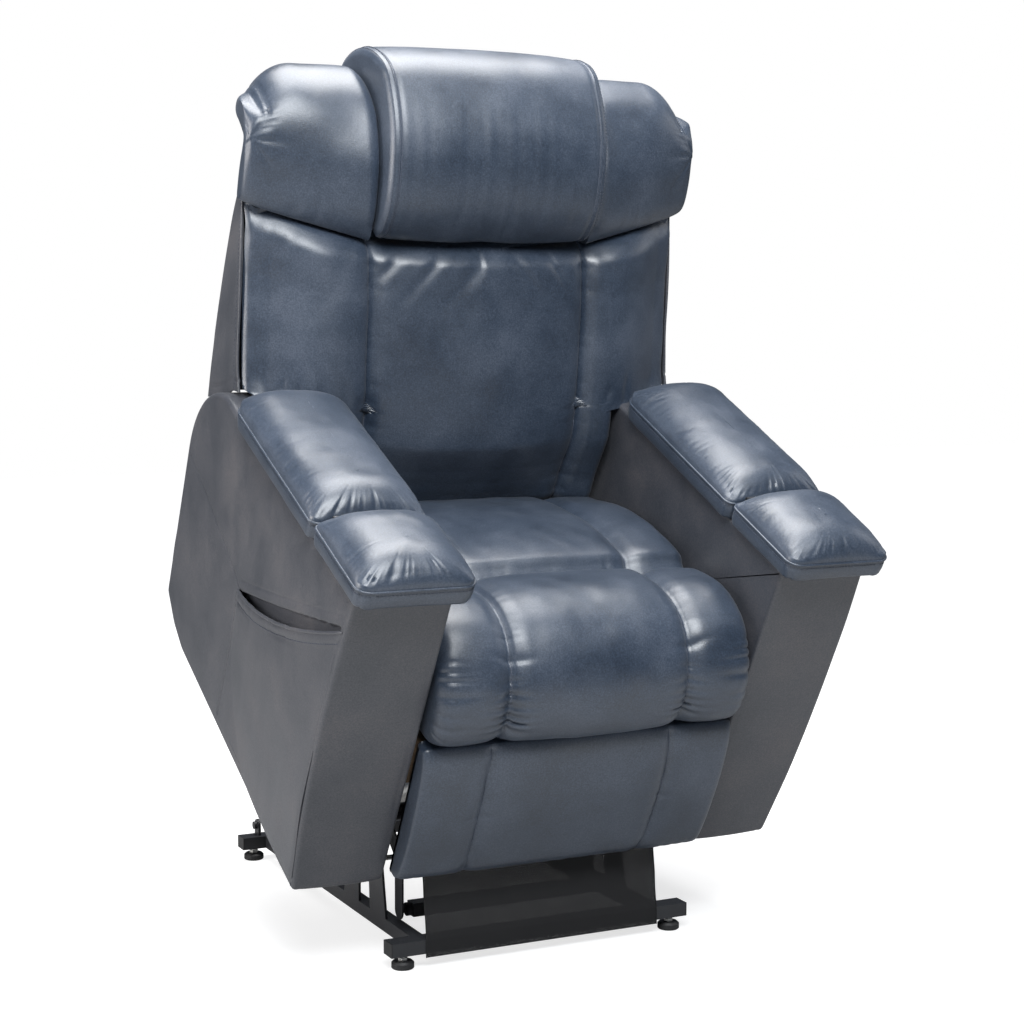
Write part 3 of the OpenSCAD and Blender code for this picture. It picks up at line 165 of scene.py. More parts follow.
def inward(loop):
    """Unit vectors that point into a closed loop of (y, z)."""
    t = np.roll(loop[:, :2], -1, 0) - np.roll(loop[:, :2], 1, 0)
    t /= np.linalg.norm(t, axis=1)[:, None] + 1e-12
    v = np.stack([-t[:, 1], t[:, 0]], -1)
    area = np.sum(loop[:, 0] * np.roll(loop[:, 1], -1) - np.roll(loop[:, 0], -1) * loop[:, 1])
    return v if area > 0 else -v


def outward(P, closed=True):
    """Unit normals of a grid, turned so that on the whole they point away from its middle."""
    du = (np.roll(P, -1, 1) - np.roll(P, 1, 1)) if closed else np.gradient(P, axis=1)
    dv = np.gradient(P, axis=0)
    N = np.cross(du, dv)
    N /= np.linalg.norm(N, axis=2)[:, :, None] + 1e-12
    return N if np.sum((P - P.mean((0, 1))) * N) > 0 else -N


def facing(P, axis, sign):
    """Unit normals of an open grid, turned to point along an axis on the whole."""
    N = outward(P, closed=False)
    return N if sign * N[..., axis].mean() > 0 else -N


def stations(half, end, step):
    """Places across a width from -half to half, closer together where the ends round off."""
    k = max(4, int(end * 1.6 / step))
    tail = [half - end + end * math.sin(math.pi / 2 * i / k) for i in range(k + 1)]
    n = int((half - end) / step)
    inner = list(np.linspace(0, half - end, n + 1)[1:-1])
    pos = inner + tail
    return np.array([-x for x in reversed(pos)] + [0] + pos)


def end_round(x, half, r):
    """How far a surface draws in at x where its ends at half round off with radius r."""
    s = np.clip((np.abs(x) - half + r) / r, 0, 1)
    return r * (1 - np.sqrt(1 - s * s))


def finish_mesh(name, mesh, place, material, angle):
    co = np.zeros(len(mesh.vertices) * 3)
    mesh.vertices.foreach_get("co", co)
    mesh.vertices.foreach_set("co", place(co.reshape(-1, 3)).astype(np.float32).ravel())
    mesh.update()
    mesh.polygons.foreach_set("use_smooth", [True] * len(mesh.polygons))
    mesh.set_sharp_from_angle(angle=math.radians(angle))
    obj = bpy.data.objects.new(name, mesh)
    bpy.context.scene.collection.objects.link(obj)
    obj.data.materials.append(material)
    return obj


def skin(name, P, place, material, closed=True, caps=True, angle=60):
    """A grid of rings as one mesh. Closed rings are welded, and with caps their two ends are filled."""
    if closed:
        P = np.concatenate([P, P[:, :1]], 1)
    rings, columns = P.shape[:2]
    bm = bmesh.new()
    bmesh.ops.create_grid(bm, x_segments=columns - 1, y_segments=rings - 1, size=1)
    mesh = bpy.data.meshes.new(name)
    bm.to_mesh(mesh)
    mesh.vertices.foreach_set("co", P.reshape(-1).astype(np.float32))
    bm.clear()
    bm.from_mesh(mesh)
    bmesh.ops.remove_doubles(bm, verts=bm.verts, dist=0.02)
    if closed and caps:
        edges = [e for e in bm.edges if e.is_boundary]
        made = bmesh.ops.holes_fill(bm, edges=edges, sides=0)["faces"]
        bmesh.ops.triangulate(bm, faces=made, ngon_method="EAR_CLIP")
    bmesh.ops.recalc_face_normals(bm, faces=bm.faces)
    bm.to_mesh(mesh)
    bm.free()
    return finish_mesh(name, mesh, place, material, angle)


def sheet_rings(front, rear):
    """Closed rings round a thin sheet of two grids, drawn together at both ends."""
    def drawn(k):
        m = (front[k] + rear[k]) / 2
        return np.concatenate([m, m[::-1]])[None]
    return np.concatenate([drawn(0), np.concatenate([front, rear[:, ::-1]], 1), drawn(-1)])


def tube(name, paths, radius, place, material, cyclic=False):
    """Piping or thread: one curve object with a round section along each path."""
    data = bpy.data.curves.new(name, "CURVE")
    data.dimensions = "3D"
    data.bevel_depth = radius / 1000
    data.bevel_resolution = 2
    data.use_fill_caps = True
    for path in paths:
        p = place(path)
        s = data.splines.new("POLY")
        s.points.add(len(p) - 1)
        s.points.foreach_set("co", np.concatenate([p, np.ones((len(p), 1))], 1).astype(np.float32).ravel())
        s.use_cyclic_u = cyclic
        s.use_smooth = True
    obj = bpy.data.objects.new(name, data)
    bpy.context.scene.collection.objects.link(obj)
    data.materials.append(material)
    return obj


def stitches(path, long=4.2, pitch=7.0):
    """Cuts a path into separate short stitches."""
    path = np.asarray(path, float)
    s = distances(path)
    at = np.arange(pitch / 2, s[-1] - long, pitch)
    ends = [np.stack([np.interp(at + o, s, path[:, k]) for k in range(3)], -1) for o in (0, long / 2, long)]
    return list(np.stack(ends, 1))


def along(P, N, us, vs, lift=0.0):
    """Points on a grid P at fractional ring us and column vs, raised by lift."""
    us, vs = np.broadcast_arrays(np.asarray(us, float), np.asarray(vs, float))
    us = np.clip(us, 0, P.shape[0] - 1.001)
    vs = np.clip(vs, 0, P.shape[1] - 1.001)
    i, j = us.astype(int), vs.astype(int)
    f, g = (us - i)[:, None], (vs - j)[:, None]

    def mix(A):
        here = A[i, j] * (1 - f) + A[i + 1, j] * f
        beside = A[i, j + 1] * (1 - f) + A[i + 1, j + 1] * f
        return here * (1 - g) + beside * g
    return mix(P) + mix(N) * lift


# ---- materials ----
def new_material(name):
    m = bpy.data.materials.new(name)
    m.use_nodes = True
    nodes, links = m.node_tree.nodes, m.node_tree.links
    shader = nodes["Principled BSDF"]
    coords = nodes.new("ShaderNodeTexCoord")
    return m, nodes, links, shader, coords


def noise_node(nodes, links, coords, scale, detail=3.0, rough=0.55, stretch=None):
    n = nodes.new("ShaderNodeTexNoise")
    n.inputs["Scale"].default_value = scale
    n.inputs["Detail"].default_value = detail
    n.inputs["Roughness"].default_value = rough
    source = coords.outputs["Object"]
    if stretch:
        mp = nodes.new("ShaderNodeMapping")
        mp.inputs["Scale"].default_value = stretch
        links.new(source, mp.inputs["Vector"])
        source = mp.outputs["Vector"]
    links.new(source, n.inputs["Vector"])
    return n


def ramp(nodes, links, source, stops):
    r = nodes.new("ShaderNodeValToRGB")
    while len(r.color_ramp.elements) < len(stops):
        r.color_ramp.elements.new(0.5)
    for e, (pos, col) in zip(r.color_ramp.elements, stops):
        e.position = pos
        e.color = (*col, 1) if len(col) == 3 else col
    links.new(source, r.inputs["Fac"])
    return r


def bumps(nodes, links, shader, *layers):
    """Stacks height sources, each as (socket, strength, distance)."""
    last = None
    for socket, strength, distance in layers:
        b = nodes.new("ShaderNodeBump")
        b.inputs["Strength"].default_value = strength
        b.inputs["Distance"].default_value = distance
        links.new(socket, b.inputs["Height"])
        if last:
            links.new(last.outputs["Normal"], b.inputs["Normal"])
        last = b
    links.new(last.outputs["Normal"], shader.inputs["Normal"])


def leather(name, dark, mid, light, rough=0.4, spec=1.0):
    m, nodes, links, shader, coords = new_material(name)
    cloud = noise_node(nodes, links, coords, 9, 4, 0.6)
    fine = noise_node(nodes, links, coords, 420, 2, 0.6)
    mix = nodes.new("ShaderNodeMix")
    mix.inputs["Factor"].default_value = 0.55
    links.new(cloud.outputs["Fac"], mix.inputs["A"])
    links.new(fine.outputs["Fac"], mix.inputs["B"])
    colour = ramp(nodes, links, mix.outputs["Result"], [(0.36, dark), (0.5, mid), (0.66, light)])
    links.new(colour.outputs["Color"], shader.inputs["Base Color"])
    sheen = ramp(nodes, links, cloud.outputs["Fac"], [(0.3, (rough - 0.05,) * 3), (0.7, (rough + 0.07,) * 3)])
    links.new(sheen.outputs["Color"], shader.inputs["Roughness"])
    shader.inputs["Specular IOR Level"].default_value = spec
    shader.inputs["Sheen Weight"].default_value = 0.06
    shader.inputs["Sheen Roughness"].default_value = 0.5
    grain = nodes.new("ShaderNodeTexVoronoi")
    grain.inputs["Scale"].default_value = 620
    links.new(coords.outputs["Object"], grain.inputs["Vector"])
    soft = noise_node(nodes, links, coords, 60, 2)
    bumps(nodes, links, shader, (soft.outputs["Fac"], 0.18, 0.0012),
          (grain.outputs["Distance"], 0.16, 0.0006), (fine.outputs["Fac"], 0.12, 0.0005))
    return m


seating = leather("leather_seating", (0.01, 0.018, 0.033), (0.022, 0.036, 0.061), (0.052, 0.068, 0.1))
# The parts in this material are the same leather as the seating: its greyer, warmer and lighter ramp is a
# painted sheen of the light from the left.
painted_sheen_leather = leather("leather_sides", (0.016, 0.02, 0.029), (0.036, 0.039, 0.05), (0.072, 0.067, 0.073), 0.46)


def thread_material():
    m, nodes, links, shader, coords = new_material("thread")
    n = noise_node(nodes, links, coords, 900, 1)
    c = ramp(nodes, links, n.outputs["Fac"], [(0.3, (0.03, 0.04, 0.06)), (0.7, (0.09, 0.1, 0.13))])
    links.new(c.outputs["Color"], shader.inputs["Base Color"])
    shader.inputs["Roughness"].default_value = 0.7
    bumps(nodes, links, shader, (n.outputs["Fac"], 0.4, 0.0004))
    return m


thread = thread_material()


def metal(name, dark, light, metallic, rough, scale=140, bump=0.12):
    m, nodes, links, shader, coords = new_material(name)
    n = noise_node(nodes, links, coords, scale, 4, 0.6)
    wear = noise_node(nodes, links, coords, 7, 3, 0.6)
    c = ramp(nodes, links, wear.outputs["Fac"], [(0.35, dark), (0.65, light)])
    links.new(c.outputs["Color"], shader.inputs["Base Color"])
    shader.inputs["Metallic"].default_value = metallic
    r = ramp(nodes, links, n.outputs["Fac"], [(0.3, (rough - 0.07,) * 3), (0.7, (rough + 0.08,) * 3)])
    links.new(r.outputs["Color"], shader.inputs["Roughness"])
    bumps(nodes, links, shader, (n.outputs["Fac"], bump, 0.0004))
    return m


powder = metal("black_steel", (0.018, 0.019, 0.022), (0.028, 0.029, 0.032), 0.0, 0.42, 1400, 0.3)
zinc = metal("bright_steel", (0.42, 0.42, 0.41), (0.6, 0.6, 0.58), 1.0, 0.34, 220)
plastic = metal("black_plastic", (0.012, 0.012, 0.013), (0.02, 0.02, 0.021), 0.0, 0.5, 900, 0.2)


def plywood_material():
    m, nodes, links, shader, coords = new_material("plywood")
    n = noise_node(nodes, links, coords, 14, 5, 0.65, (1, 9, 9))
    stops = [(0.3, (0.07, 0.045, 0.026)), (0.55, (0.11, 0.074, 0.042)), (0.8, (0.16, 0.11, 0.065))]
    c = ramp(nodes, links, n.outputs["Fac"], stops)
    links.new(c.outputs["Color"], shader.inputs["Base Color"])
    shader.inputs["Roughness"].default_value = 0.62
    bumps(nodes, links, shader, (n.outputs["Fac"], 0.25, 0.0008))
    return m


def woven(name, base, light, scale, holes):
    """A plain weave from two crossed bands, see-through between its threads if it has holes."""
    m, nodes, links, shader, coords = new_material(name)
    heights = []
    for axis in ("X", "Z"):
        w = nodes.new("ShaderNodeTexWave")
        w.bands_direction = axis
        w.inputs["Scale"].default_value = scale
        links.new(coords.outputs["Object"], w.inputs["Vector"])
        heights.append(w)
    top = nodes.new("ShaderNodeMath")
    top.operation = "MAXIMUM"
    links.new(heights[0].outputs["Fac"], top.inputs[0])
    links.new(heights[1].outputs["Fac"], top.inputs[1])
    c = ramp(nodes, links, top.outputs["Value"], [(0.2, base), (0.9, light)])
    links.new(c.outputs["Color"], shader.inputs["Base Color"])
    shader.inputs["Roughness"].default_value = 0.75
    if holes:
        cut = nodes.new("ShaderNodeMath")
        cut.operation = "GREATER_THAN"
        cut.inputs[1].default_value = holes
        links.new(top.outputs["Value"], cut.inputs[0])
        links.new(cut.outputs["Value"], shader.inputs["Alpha"])
    bumps(nodes, links, shader, (top.outputs["Value"], 0.5, 0.0006))
    return m


plywood = plywood_material()
webbing = woven("webbing", (0.1, 0.075, 0.045), (0.32, 0.25, 0.16), 90, 0)
netting = woven("black_mesh", (0.0012, 0.0012, 0.002), (0.004, 0.004, 0.005), 300, 0.03)

SLOTS = {"leather_seating": seating, "leather_sides": painted_sheen_leather, "black_mesh": netting, "webbing": webbing,
         "plywood": plywood, "black_plastic": plastic, "bright_steel": zinc, "black_steel": powder}
for row in frame["record"]["subparts"]:
    part = frame["nodes"][row["node"]]
    if not part.material_slots:
        part.data.materials.append(None)
    for material_slot in part.material_slots:
        material_slot.material = SLOTS[row["material_slot"]]


def soft(obj, body, nodes, fill=None, finish="leather_seating"):
    """Puts a soft piece on its body in place of the CAD nodes that it stands for."""
    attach(obj, body)
    if nodes:
        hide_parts(*nodes)
    return obj


def trim(obj, body):
    """Puts a seam, a piping or a row of stitches on its body."""
    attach(obj, body)
    return obj


# ---- seat cushion: a centre panel and side channels, with a full front roll ----
# section points hold y, z and how far the padding's folds show there
SEAT_HALF, CHANNEL_X, CROSS_SEAM = 266.0, 150.0, (163, 462)
CHANNEL_MID = (CHANNEL_X + SEAT_HALF) / 2
SEAT = [(494, 330, 0), (496, 376, .3), (468, 402, 1), (400, 433, 1), (322, 457, 1), (246, 470, 1),
        (192, 473, 1), (163, 462, 1), (128, 484, 1), (60, 503, 1), (-4, 496, 1), (-48, 468, 1),
        (-80, 424, 1), (-92, 376, 1), (-86, 334, 1), (-60, 311, .6), (-20, 308, 0), (120, 307, 0),
        (300, 307, 0), (440, 308, 0)]


def seat():
    L = smooth_loop(SEAT, 3.6)
    IN = inward(L)
    s = distances(L[:, :2])
    s_cross = s[np.argmin(np.hypot(*(L[:, :2] - CROSS_SEAM).T))]
    xs = stations(SEAT_HALF, 24, 4)
    X, S = np.meshgrid(xs, s, indexing="ij")
    Y, Z, W = (np.broadcast_to(L[:, k], X.shape) for k in range(3))
    a = np.abs(X)
    drop = np.where(a < CHANNEL_X, 6 * (a / CHANNEL_X) ** 2.2,
                    6 + 6 * (np.abs(a - CHANNEL_MID) / (SEAT_HALF - CHANNEL_MID)) ** 2)
    seam = a - CHANNEL_X
    cross = S - s_cross
    roll = S > s_cross
    face = bump(Y, -130, -20, 60) * bump(Z, 325, 480, 40)
    d = drop + 9 * groove(seam, 30) + 5 * groove(seam, 5) + 5 * groove(cross, 24) + 4 * groove(cross, 5)
    d += (0.8 + 5.2 * face) * pucker(S, seam, 23, 30, 11) * np.where(X > 0, 0.8, 1.0)
    near = np.exp(-((a - CHANNEL_X) / 40) ** 2) + 0.35
    d += np.where(roll, 3.4, 1.3) * near * pucker(X + 900, cross, 21, 26, 23)
    d += (0.6 + 5.0 * face) * pucker(S + 400, SEAT_HALF - a, 27, 40, 31)
    d += 2.2 * wave2(X / 75 + 40, S / 95, 3) + 0.8 * wave2(X / 28 + 9, S / 34, 4)
    d = end_round(X, SEAT_HALF, 24) + W * d
    P = np.stack([X, Y + IN[:, 0] * d, Z + IN[:, 1] * d], -1)
    soft(skin("seat_cushion_cover", P, chair, seating), "carriage", ["seat_cushion"], 0.75)
    N = outward(P)
    ends = []
    top = [j for j in range(len(s)) if L[j, 2] > 0.9]
    for x in (-CHANNEL_X, CHANNEL_X):
        i = np.interp(x, xs, np.arange(len(xs)))
        ends.append(along(P, N, i, np.arange(top[0], top[-1]), -0.6))
    jc = np.interp(s_cross, s, np.arange(len(s)))
    ends.append(along(P, N, np.arange(6, len(xs) - 6), jc, -0.6))
    trim(tube("seat_seams", ends, 0.9, chair, thread), "carriage")


seat()


# ---- footrest pad, wrapped round the edges of its board ----
def footrest_seam(z):
    return 158 - 5 * ((z - 180) / 120) ** 2


def footrest():
    y, z0, z1, t = -46.8, 53.0, 305.0, 33.0
    rear = y + 13.6
    loop = [(rear, z0 + 1, 0), (rear, z0 + 40, 0), (rear, z1 - 40, 0), (rear, z1, 0), (rear - 2, z1 + 0.9, 0),
            (y, z1 + 0.6, 0), (y - t * .34, z1, .5),
            (y - t * .74, z1 - 26, 1), (y - t * .95, z1 - 80, 1), (y - t, 174, 1), (y - t * .95, z0 + 60, 1),
            (y - t * .78, z0 + 18, 1), (y - t * .3, z0 + 1, .5), (y, z0 - 0.8, 0), (rear - 2, z0 - 0.8, 0)]
    L = smooth_loop(loop, 3.6)
    IN = inward(L)
    s = distances(L[:, :2])
    xs = stations(SEAT_HALF, 12, 4)
    X, S = np.meshgrid(xs, s, indexing="ij")
    Y, Z, W = (np.broadcast_to(L[:, k], X.shape) for k in range(3))
    a = np.abs(X)
    seam = a - footrest_seam(Z)
    d = 5 * groove(seam, 26) + 3.5 * groove(seam, 4.5) + 1.8 * (np.abs(a) / SEAT_HALF) ** 4
    d += 1.6 * pucker(S, seam, 30, 20, 41) + 1.4 * pucker(X + 500, Z - z0, 24, 26, 43)
    d += 1.5 * groove(Z - (z0 + 15), 4)
    d += 1.2 * wave2(X / 80 + 11, Z / 70, 44)
    d = 0.6 * end_round(X, SEAT_HALF, 12) + W * d
    P = np.stack([X, Y + IN[:, 0] * d, Z + IN[:, 1] * d], -1)
    soft(skin("footrest_pad_cover", P, chair, seating), "foot_board", ["footrest_pad"], 0.5)
    N = outward(P)
    rows = [j for j in range(len(s)) if L[j, 2] > 0.6]
    lines = []
    for sign in (-1, 1):
        us = np.interp(sign * footrest_seam(L[rows, 1]), xs, np.arange(len(xs)))
        lines.append(along(P, N, us, rows, -0.4))
    trim(tube("footrest_seams", lines, 0.8, chair, thread), "foot_board")


footrest()


# ---- back cushion: a centre panel between two side panels ----
SEAM_LINE = [(410, 509), (482, 503), (511, 507), (562, 524), (641, 553), (719, 584), (797, 615), (860, 640)]
EDGE_LINE = [(555, 569), (584, 590), (637, 614), (700, 638), (773, 663), (842, 690)]
BACK_SEAM, BACK_HALF, BACK_LOW = 195.0, 390.0, 263.0


def shoulder(x, z):
    """How far the side panels' upper ends rise toward the wings."""
    outer = np.clip((np.abs(x) - BACK_SEAM) / (BACK_HALF - BACK_SEAM), 0, 1)
    return 38 * np.clip((z - 734) / 63, 0, 1) * outer


def back_cushion():
    sm = smooth_loop(SEAM_LINE, 4, closed=False)
    ed = smooth_loop(EDGE_LINE, 4, closed=False)
    zs = np.concatenate([np.arange(356, 542, 4.0), np.arange(542, 580, 2.0), np.arange(580, 798, 3.5)])
    u = np.linspace(-1, 1, 221)
    ub = np.linspace(1, -1, 60)[1:-1]
    wide = np.clip((zs - 546) / 16, 0, 1)
    wide = wide * wide * (3 - 2 * wide)
    half = BACK_LOW + (BACK_HALF - BACK_LOW) * wide
    Z, U = np.meshgrid(zs, u, indexing="ij")
    X = U * half[:, None]
    K = wide[:, None]
    y0 = np.interp(Z, sm[:, 0], sm[:, 1])
    edge = np.interp(np.maximum(Z, 555), ed[:, 0], ed[:, 1]) - y0
    a = np.abs(X)
    o = np.clip((a - BACK_SEAM) / (385 - BACK_SEAM), 0, 1)
    inner = -20 * np.clip((Z - 380) / 110, 0, 1) * (1 - (a / BACK_SEAM) ** 2)
    beside = a - BACK_SEAM
    side_low = 3 * np.clip(beside / 30, 0, 1) - 13 * np.sin(np.pi * np.clip(beside / 120, 0, 1))
    side_high = edge * o ** 2.2 - 13 * np.sin(np.pi * np.clip(beside / 160, 0, 1))
    side = side_low * (1 - K) + side_high * K
    bulge = np.where(a < BACK_SEAM, inner, side)
    seam = a - BACK_SEAM
    under = 797 - Z
    d = 8 * groove(seam, 26) + 5 * groove(seam, 5)
    d += 1.6 * pucker(Z, seam, 34, 30, 51)
    slant = X * 0.75 + Z * 0.6 * np.sign(X) + 700
    d += 5.0 * np.exp(-((under - 20) / 60) ** 2) * pucker(slant, under, 62, 95, 53)
    d += 2.4 * wave2(X / 85 + 31, Z / 80, 54) + 0.9 * wave2(X / 36 + 3, Z / 42, 55)
    by_arm = np.exp(-((Z - 585) / 34) ** 2) * K * np.clip((a - 205) / 30, 0, 1)
    d += 4.0 * by_arm * pucker(X + 900, Z - 570, 40, 46, 57)
    d += end_round(X, half[:, None], 16) * (1 - K) + end_round(X, half[:, None], 10) * K
    bulge = bulge - 9 * np.sin(np.pi * np.clip((Z - 440) / 350, 0, 1))
    pull = 9 * np.clip((380 - Z) / 24, 0, 1) ** 2 + 24 * np.clip((Z - 775) / 22, 0, 1) ** 2
    Y = y0 + bulge + pull + d
    front = np.stack([X, Y, Z + shoulder(X, Z)], -1)
    z = zs[:, None]
    rear_x = ub[None, :] * half[:, None]
    rear_y = y0[:, :1] + 78 - 28 * np.clip((470 - z) / 96, 0, None) - 15 * np.clip((z - 700) / 100, 0, None)
    rear = np.stack([rear_x, np.broadcast_to(rear_y, rear_x.shape), z + shoulder(rear_x, z)], -1)
    P = np.concatenate([front, rear], 1)
    soft(skin("back_cushion_cover", P, chair, seating), "back", ["back_cushion"], 0.6)
    N = facing(front, 1, -1)
    lines = []
    for sx in (-BACK_SEAM, BACK_SEAM):
        js = [np.interp(sx / half[i], u, np.arange(len(u))) for i in range(len(zs))]
        lines.append(along(front, N, np.arange(len(zs)), js, -0.6))
    trim(tube("back_seams", lines, 0.9, chair, thread), "back")


back_cushion()


# ---- headrest pillow ----
HEAD_HALF, HEAD_BAND = 194.0, 177.0
PILLOW = [(616, 808, 1), (594, 830, 1), (581, 880, 1), (588, 936, 1), (616, 1000, 1), (660, 1050, 1),
          (706, 1079, 1), (766, 1080, 1), (820, 1057, 1), (856, 1018, 1), (856, 978, 1), (822, 959, .3),
          (760, 964, 0), (692, 952, 0), (672, 900, 0), (649, 836, 0), (637, 812, 0)]


def pillow():
    L = smooth_loop(PILLOW, 3.6)
    IN = inward(L)
    s = distances(L[:, :2])
    xs = stations(HEAD_HALF, 16, 3.2)
    X, S = np.meshgrid(xs, s, indexing="ij")
    Y, Z, W = (np.broadcast_to(L[:, k], X.shape) for k in range(3))
    a = np.abs(X)
    d = 0.9 * end_round(X, HEAD_HALF, 16) + 6 * (a / HEAD_HALF) ** 3
    band = bump(a, 178, 191, 2.0)
    fold = 0.5 + 0.5 * wave(X / 13, 61)
    low = np.exp(-((Z - 830) / 30) ** 2) * pucker(X + 400, Z - 812, 30, 40, 62)
    wrinkle = 1.1 * fold * bump(Z, 830, 1010, 70) + 0.8 * low
    d = d + W * (2.6 * groove(a - HEAD_BAND, 9) - 1.2 * band + 1.6 * groove(a - 184.5, 2.6)
                 + wrinkle * (a < 172) + 1.6 * wave2(X / 60 + 21, S / 70, 63))
    P = np.stack([X * (1 + 0.06 * np.clip((Y - 680) / 170, 0, None)), Y + IN[:, 0] * d, Z + IN[:, 1] * d], -1)
    soft(skin("headrest_pillow_cover", P, chair, seating), "headrest", ["headrest_pillow"], 0.8)
    N = outward(P)
    js = [j for j in range(len(s)) if L[j, 2] > 0.5]
    rows, cuts = [], []
    for x in (181.2, 187.8):
        for sign in (-1, 1):
            i = np.interp(sign * x, xs, np.arange(len(xs)))
            cuts += stitches(along(P, N, i, js, 0.5), 3.6, 5.6)
    trim(tube("headrest_stitches", cuts, 0.55, chair, thread), "headrest")
    for sign in (-1, 1):
        i = np.interp(sign * HEAD_BAND, xs, np.arange(len(xs)))
        rows.append(along(P, N, i, js, -0.3))
    trim(tube("headrest_seams", rows, 0.9, chair, thread), "headrest")


pillow()


# ---- wings beside the headrest ----
WING = [(626, 804, 0), (609, 832, 1), (612, 876, 1), (632, 936, 1), (672, 994, 1), (722, 1030, 1),
        (778, 1036, 1), (818, 1010, 1), (822, 974, 1), (792, 959, .4), (750, 954.4, 0), (714, 947.2, 0),
        (699, 938, 0), (697, 895, 0), (686, 845, 0), (665, 804, 0)]
WING_IN, WING_OUT, WING_ROUND = 198.0, 405.0, 95.0


def wing_ring(x, count):
    """The wing's section at x. Share grows to the outer side, and end draws its rounded end in."""
    share = (x - WING_IN) / (WING_OUT - WING_IN)
    end = min(1.0, float(end_round(x, WING_OUT, WING_ROUND)) / WING_ROUND)
    out = []
    for y, z, w in WING:
        yy = y + 50 * share * max(0, (700 - y) / 90)
        yy += 20 * end * max(0, (720 - y) / 110) - 70 * end * max(0, (y - 735) / 80)
        zz = z + 40 * share * max(0, (900 - z) / 94)
        if w > 0:
            zz -= (70 if y < 690 else 140) * end * max(0, (z - 900) / 140)
        if y > 690 and z > 950:
            zz = max(zz, 952 + 0.4 * (z - 950))
        out.append((yy, zz, w))
    p = np.array(out)
    n = len(p)
    ring = []
    for i in range(n):
        a, b, c, d = (p[(i + k - 1) % n] for k in range(4))
        for t in np.arange(count) / count:
            ring.append((2 * b + (c - a) * t + (2 * a - 5 * b + 4 * c - d) * t * t
                         + (3 * b - a - 3 * c + d) * t ** 3) / 2)
    return np.array(ring)


def wing(sign):
    turn_x = WING_OUT - WING_ROUND
    xs = np.concatenate([WING_IN + np.array([0, 1, 2.5, 5, 8]), np.arange(WING_IN + 12, turn_x, 3.6),
                         turn_x + WING_ROUND * np.sin(np.linspace(0, 1, 34) * math.pi / 2)])
    R = np.stack([wing_ring(x, 14) for x in xs])
    IN = np.stack([inward(r) for r in R])
    X = np.broadcast_to(xs[:, None], R.shape[:2]).copy()
    Y, Z, W = R[..., 0], R[..., 1], np.clip(R[..., 2], 0, 1)
    S = np.broadcast_to(distances(R[len(xs) // 2][:, :2]), X.shape)
    # folds fan out from the gathered point at the outer end
    gather = np.sqrt((X - 396) ** 2 + (Y - 690) ** 2 + (Z - 948) ** 2)
    turn = np.arctan2(Z - 948, 400 - X)
    fan = (0.5 + 0.5 * np.cos(turn * 7 + 0.8 * wave(turn * 3, 71))) ** 3
    d = 9 * groove(X - WING_IN, 20) + 2.5 * fan * np.exp(-((gather - 16) / 34) ** 2)
    d += 2.2 * np.exp(-((X - 372) / 16) ** 2) * pucker(S, X - 372, 16, 20, 72) * (Z > 960)
    d += 3.5 * groove(X - 372, 4) * (Z > 965) * (Y > 690)
    low = Z - 811 - 40 * (X - WING_IN) / (WING_OUT - WING_IN)
    d += 3.6 * pucker(X + 60, low, 46, 60, 73) * np.exp(-(low / 60) ** 2)
    d += 2.4 * wave2(X / 60 + 5, S / 60, 74)
    d = d * W + end_round(X, WING_OUT, 20) * 0.12
    Xs = X * (1 + 0.06 * np.clip((Y - 680) / 170, 0, None) * (WING_OUT - X) / (WING_OUT - WING_IN))
    P = np.stack([sign * Xs, Y + IN[..., 0] * d, Z + IN[..., 1] * d], -1)
    name = "wing_left" if sign > 0 else "wing_right"
    soft(skin(name + "_cover", P, chair, seating), "back", [name], 0.8)


wing(1)
wing(-1)


# ---- arm pads ----
ARM_IN, ARM_OUT = 273.0, 420.0


def arm_top(y):
    return 588 - (y + 55) * 32 / 582


def rounded_rect(x0, x1, y0, y1, r, step):
    fine = []
    for cx, cy, start in ((x1 - r[0], y0 + r[0], -90), (x1 - r[1], y1 - r[1], 0), (x0 + r[2], y1 - r[2], 90),
                          (x0 + r[3], y0 + r[3], 180)):
        rr = r[(start + 90) // 90]
        for k in range(13):
            t = math.radians(start + 90 * k / 12)
            fine.append((cx + rr * math.cos(t), cy + rr * math.sin(t)))
    fine.append(fine[0])
    return resample(np.array(fine), step)


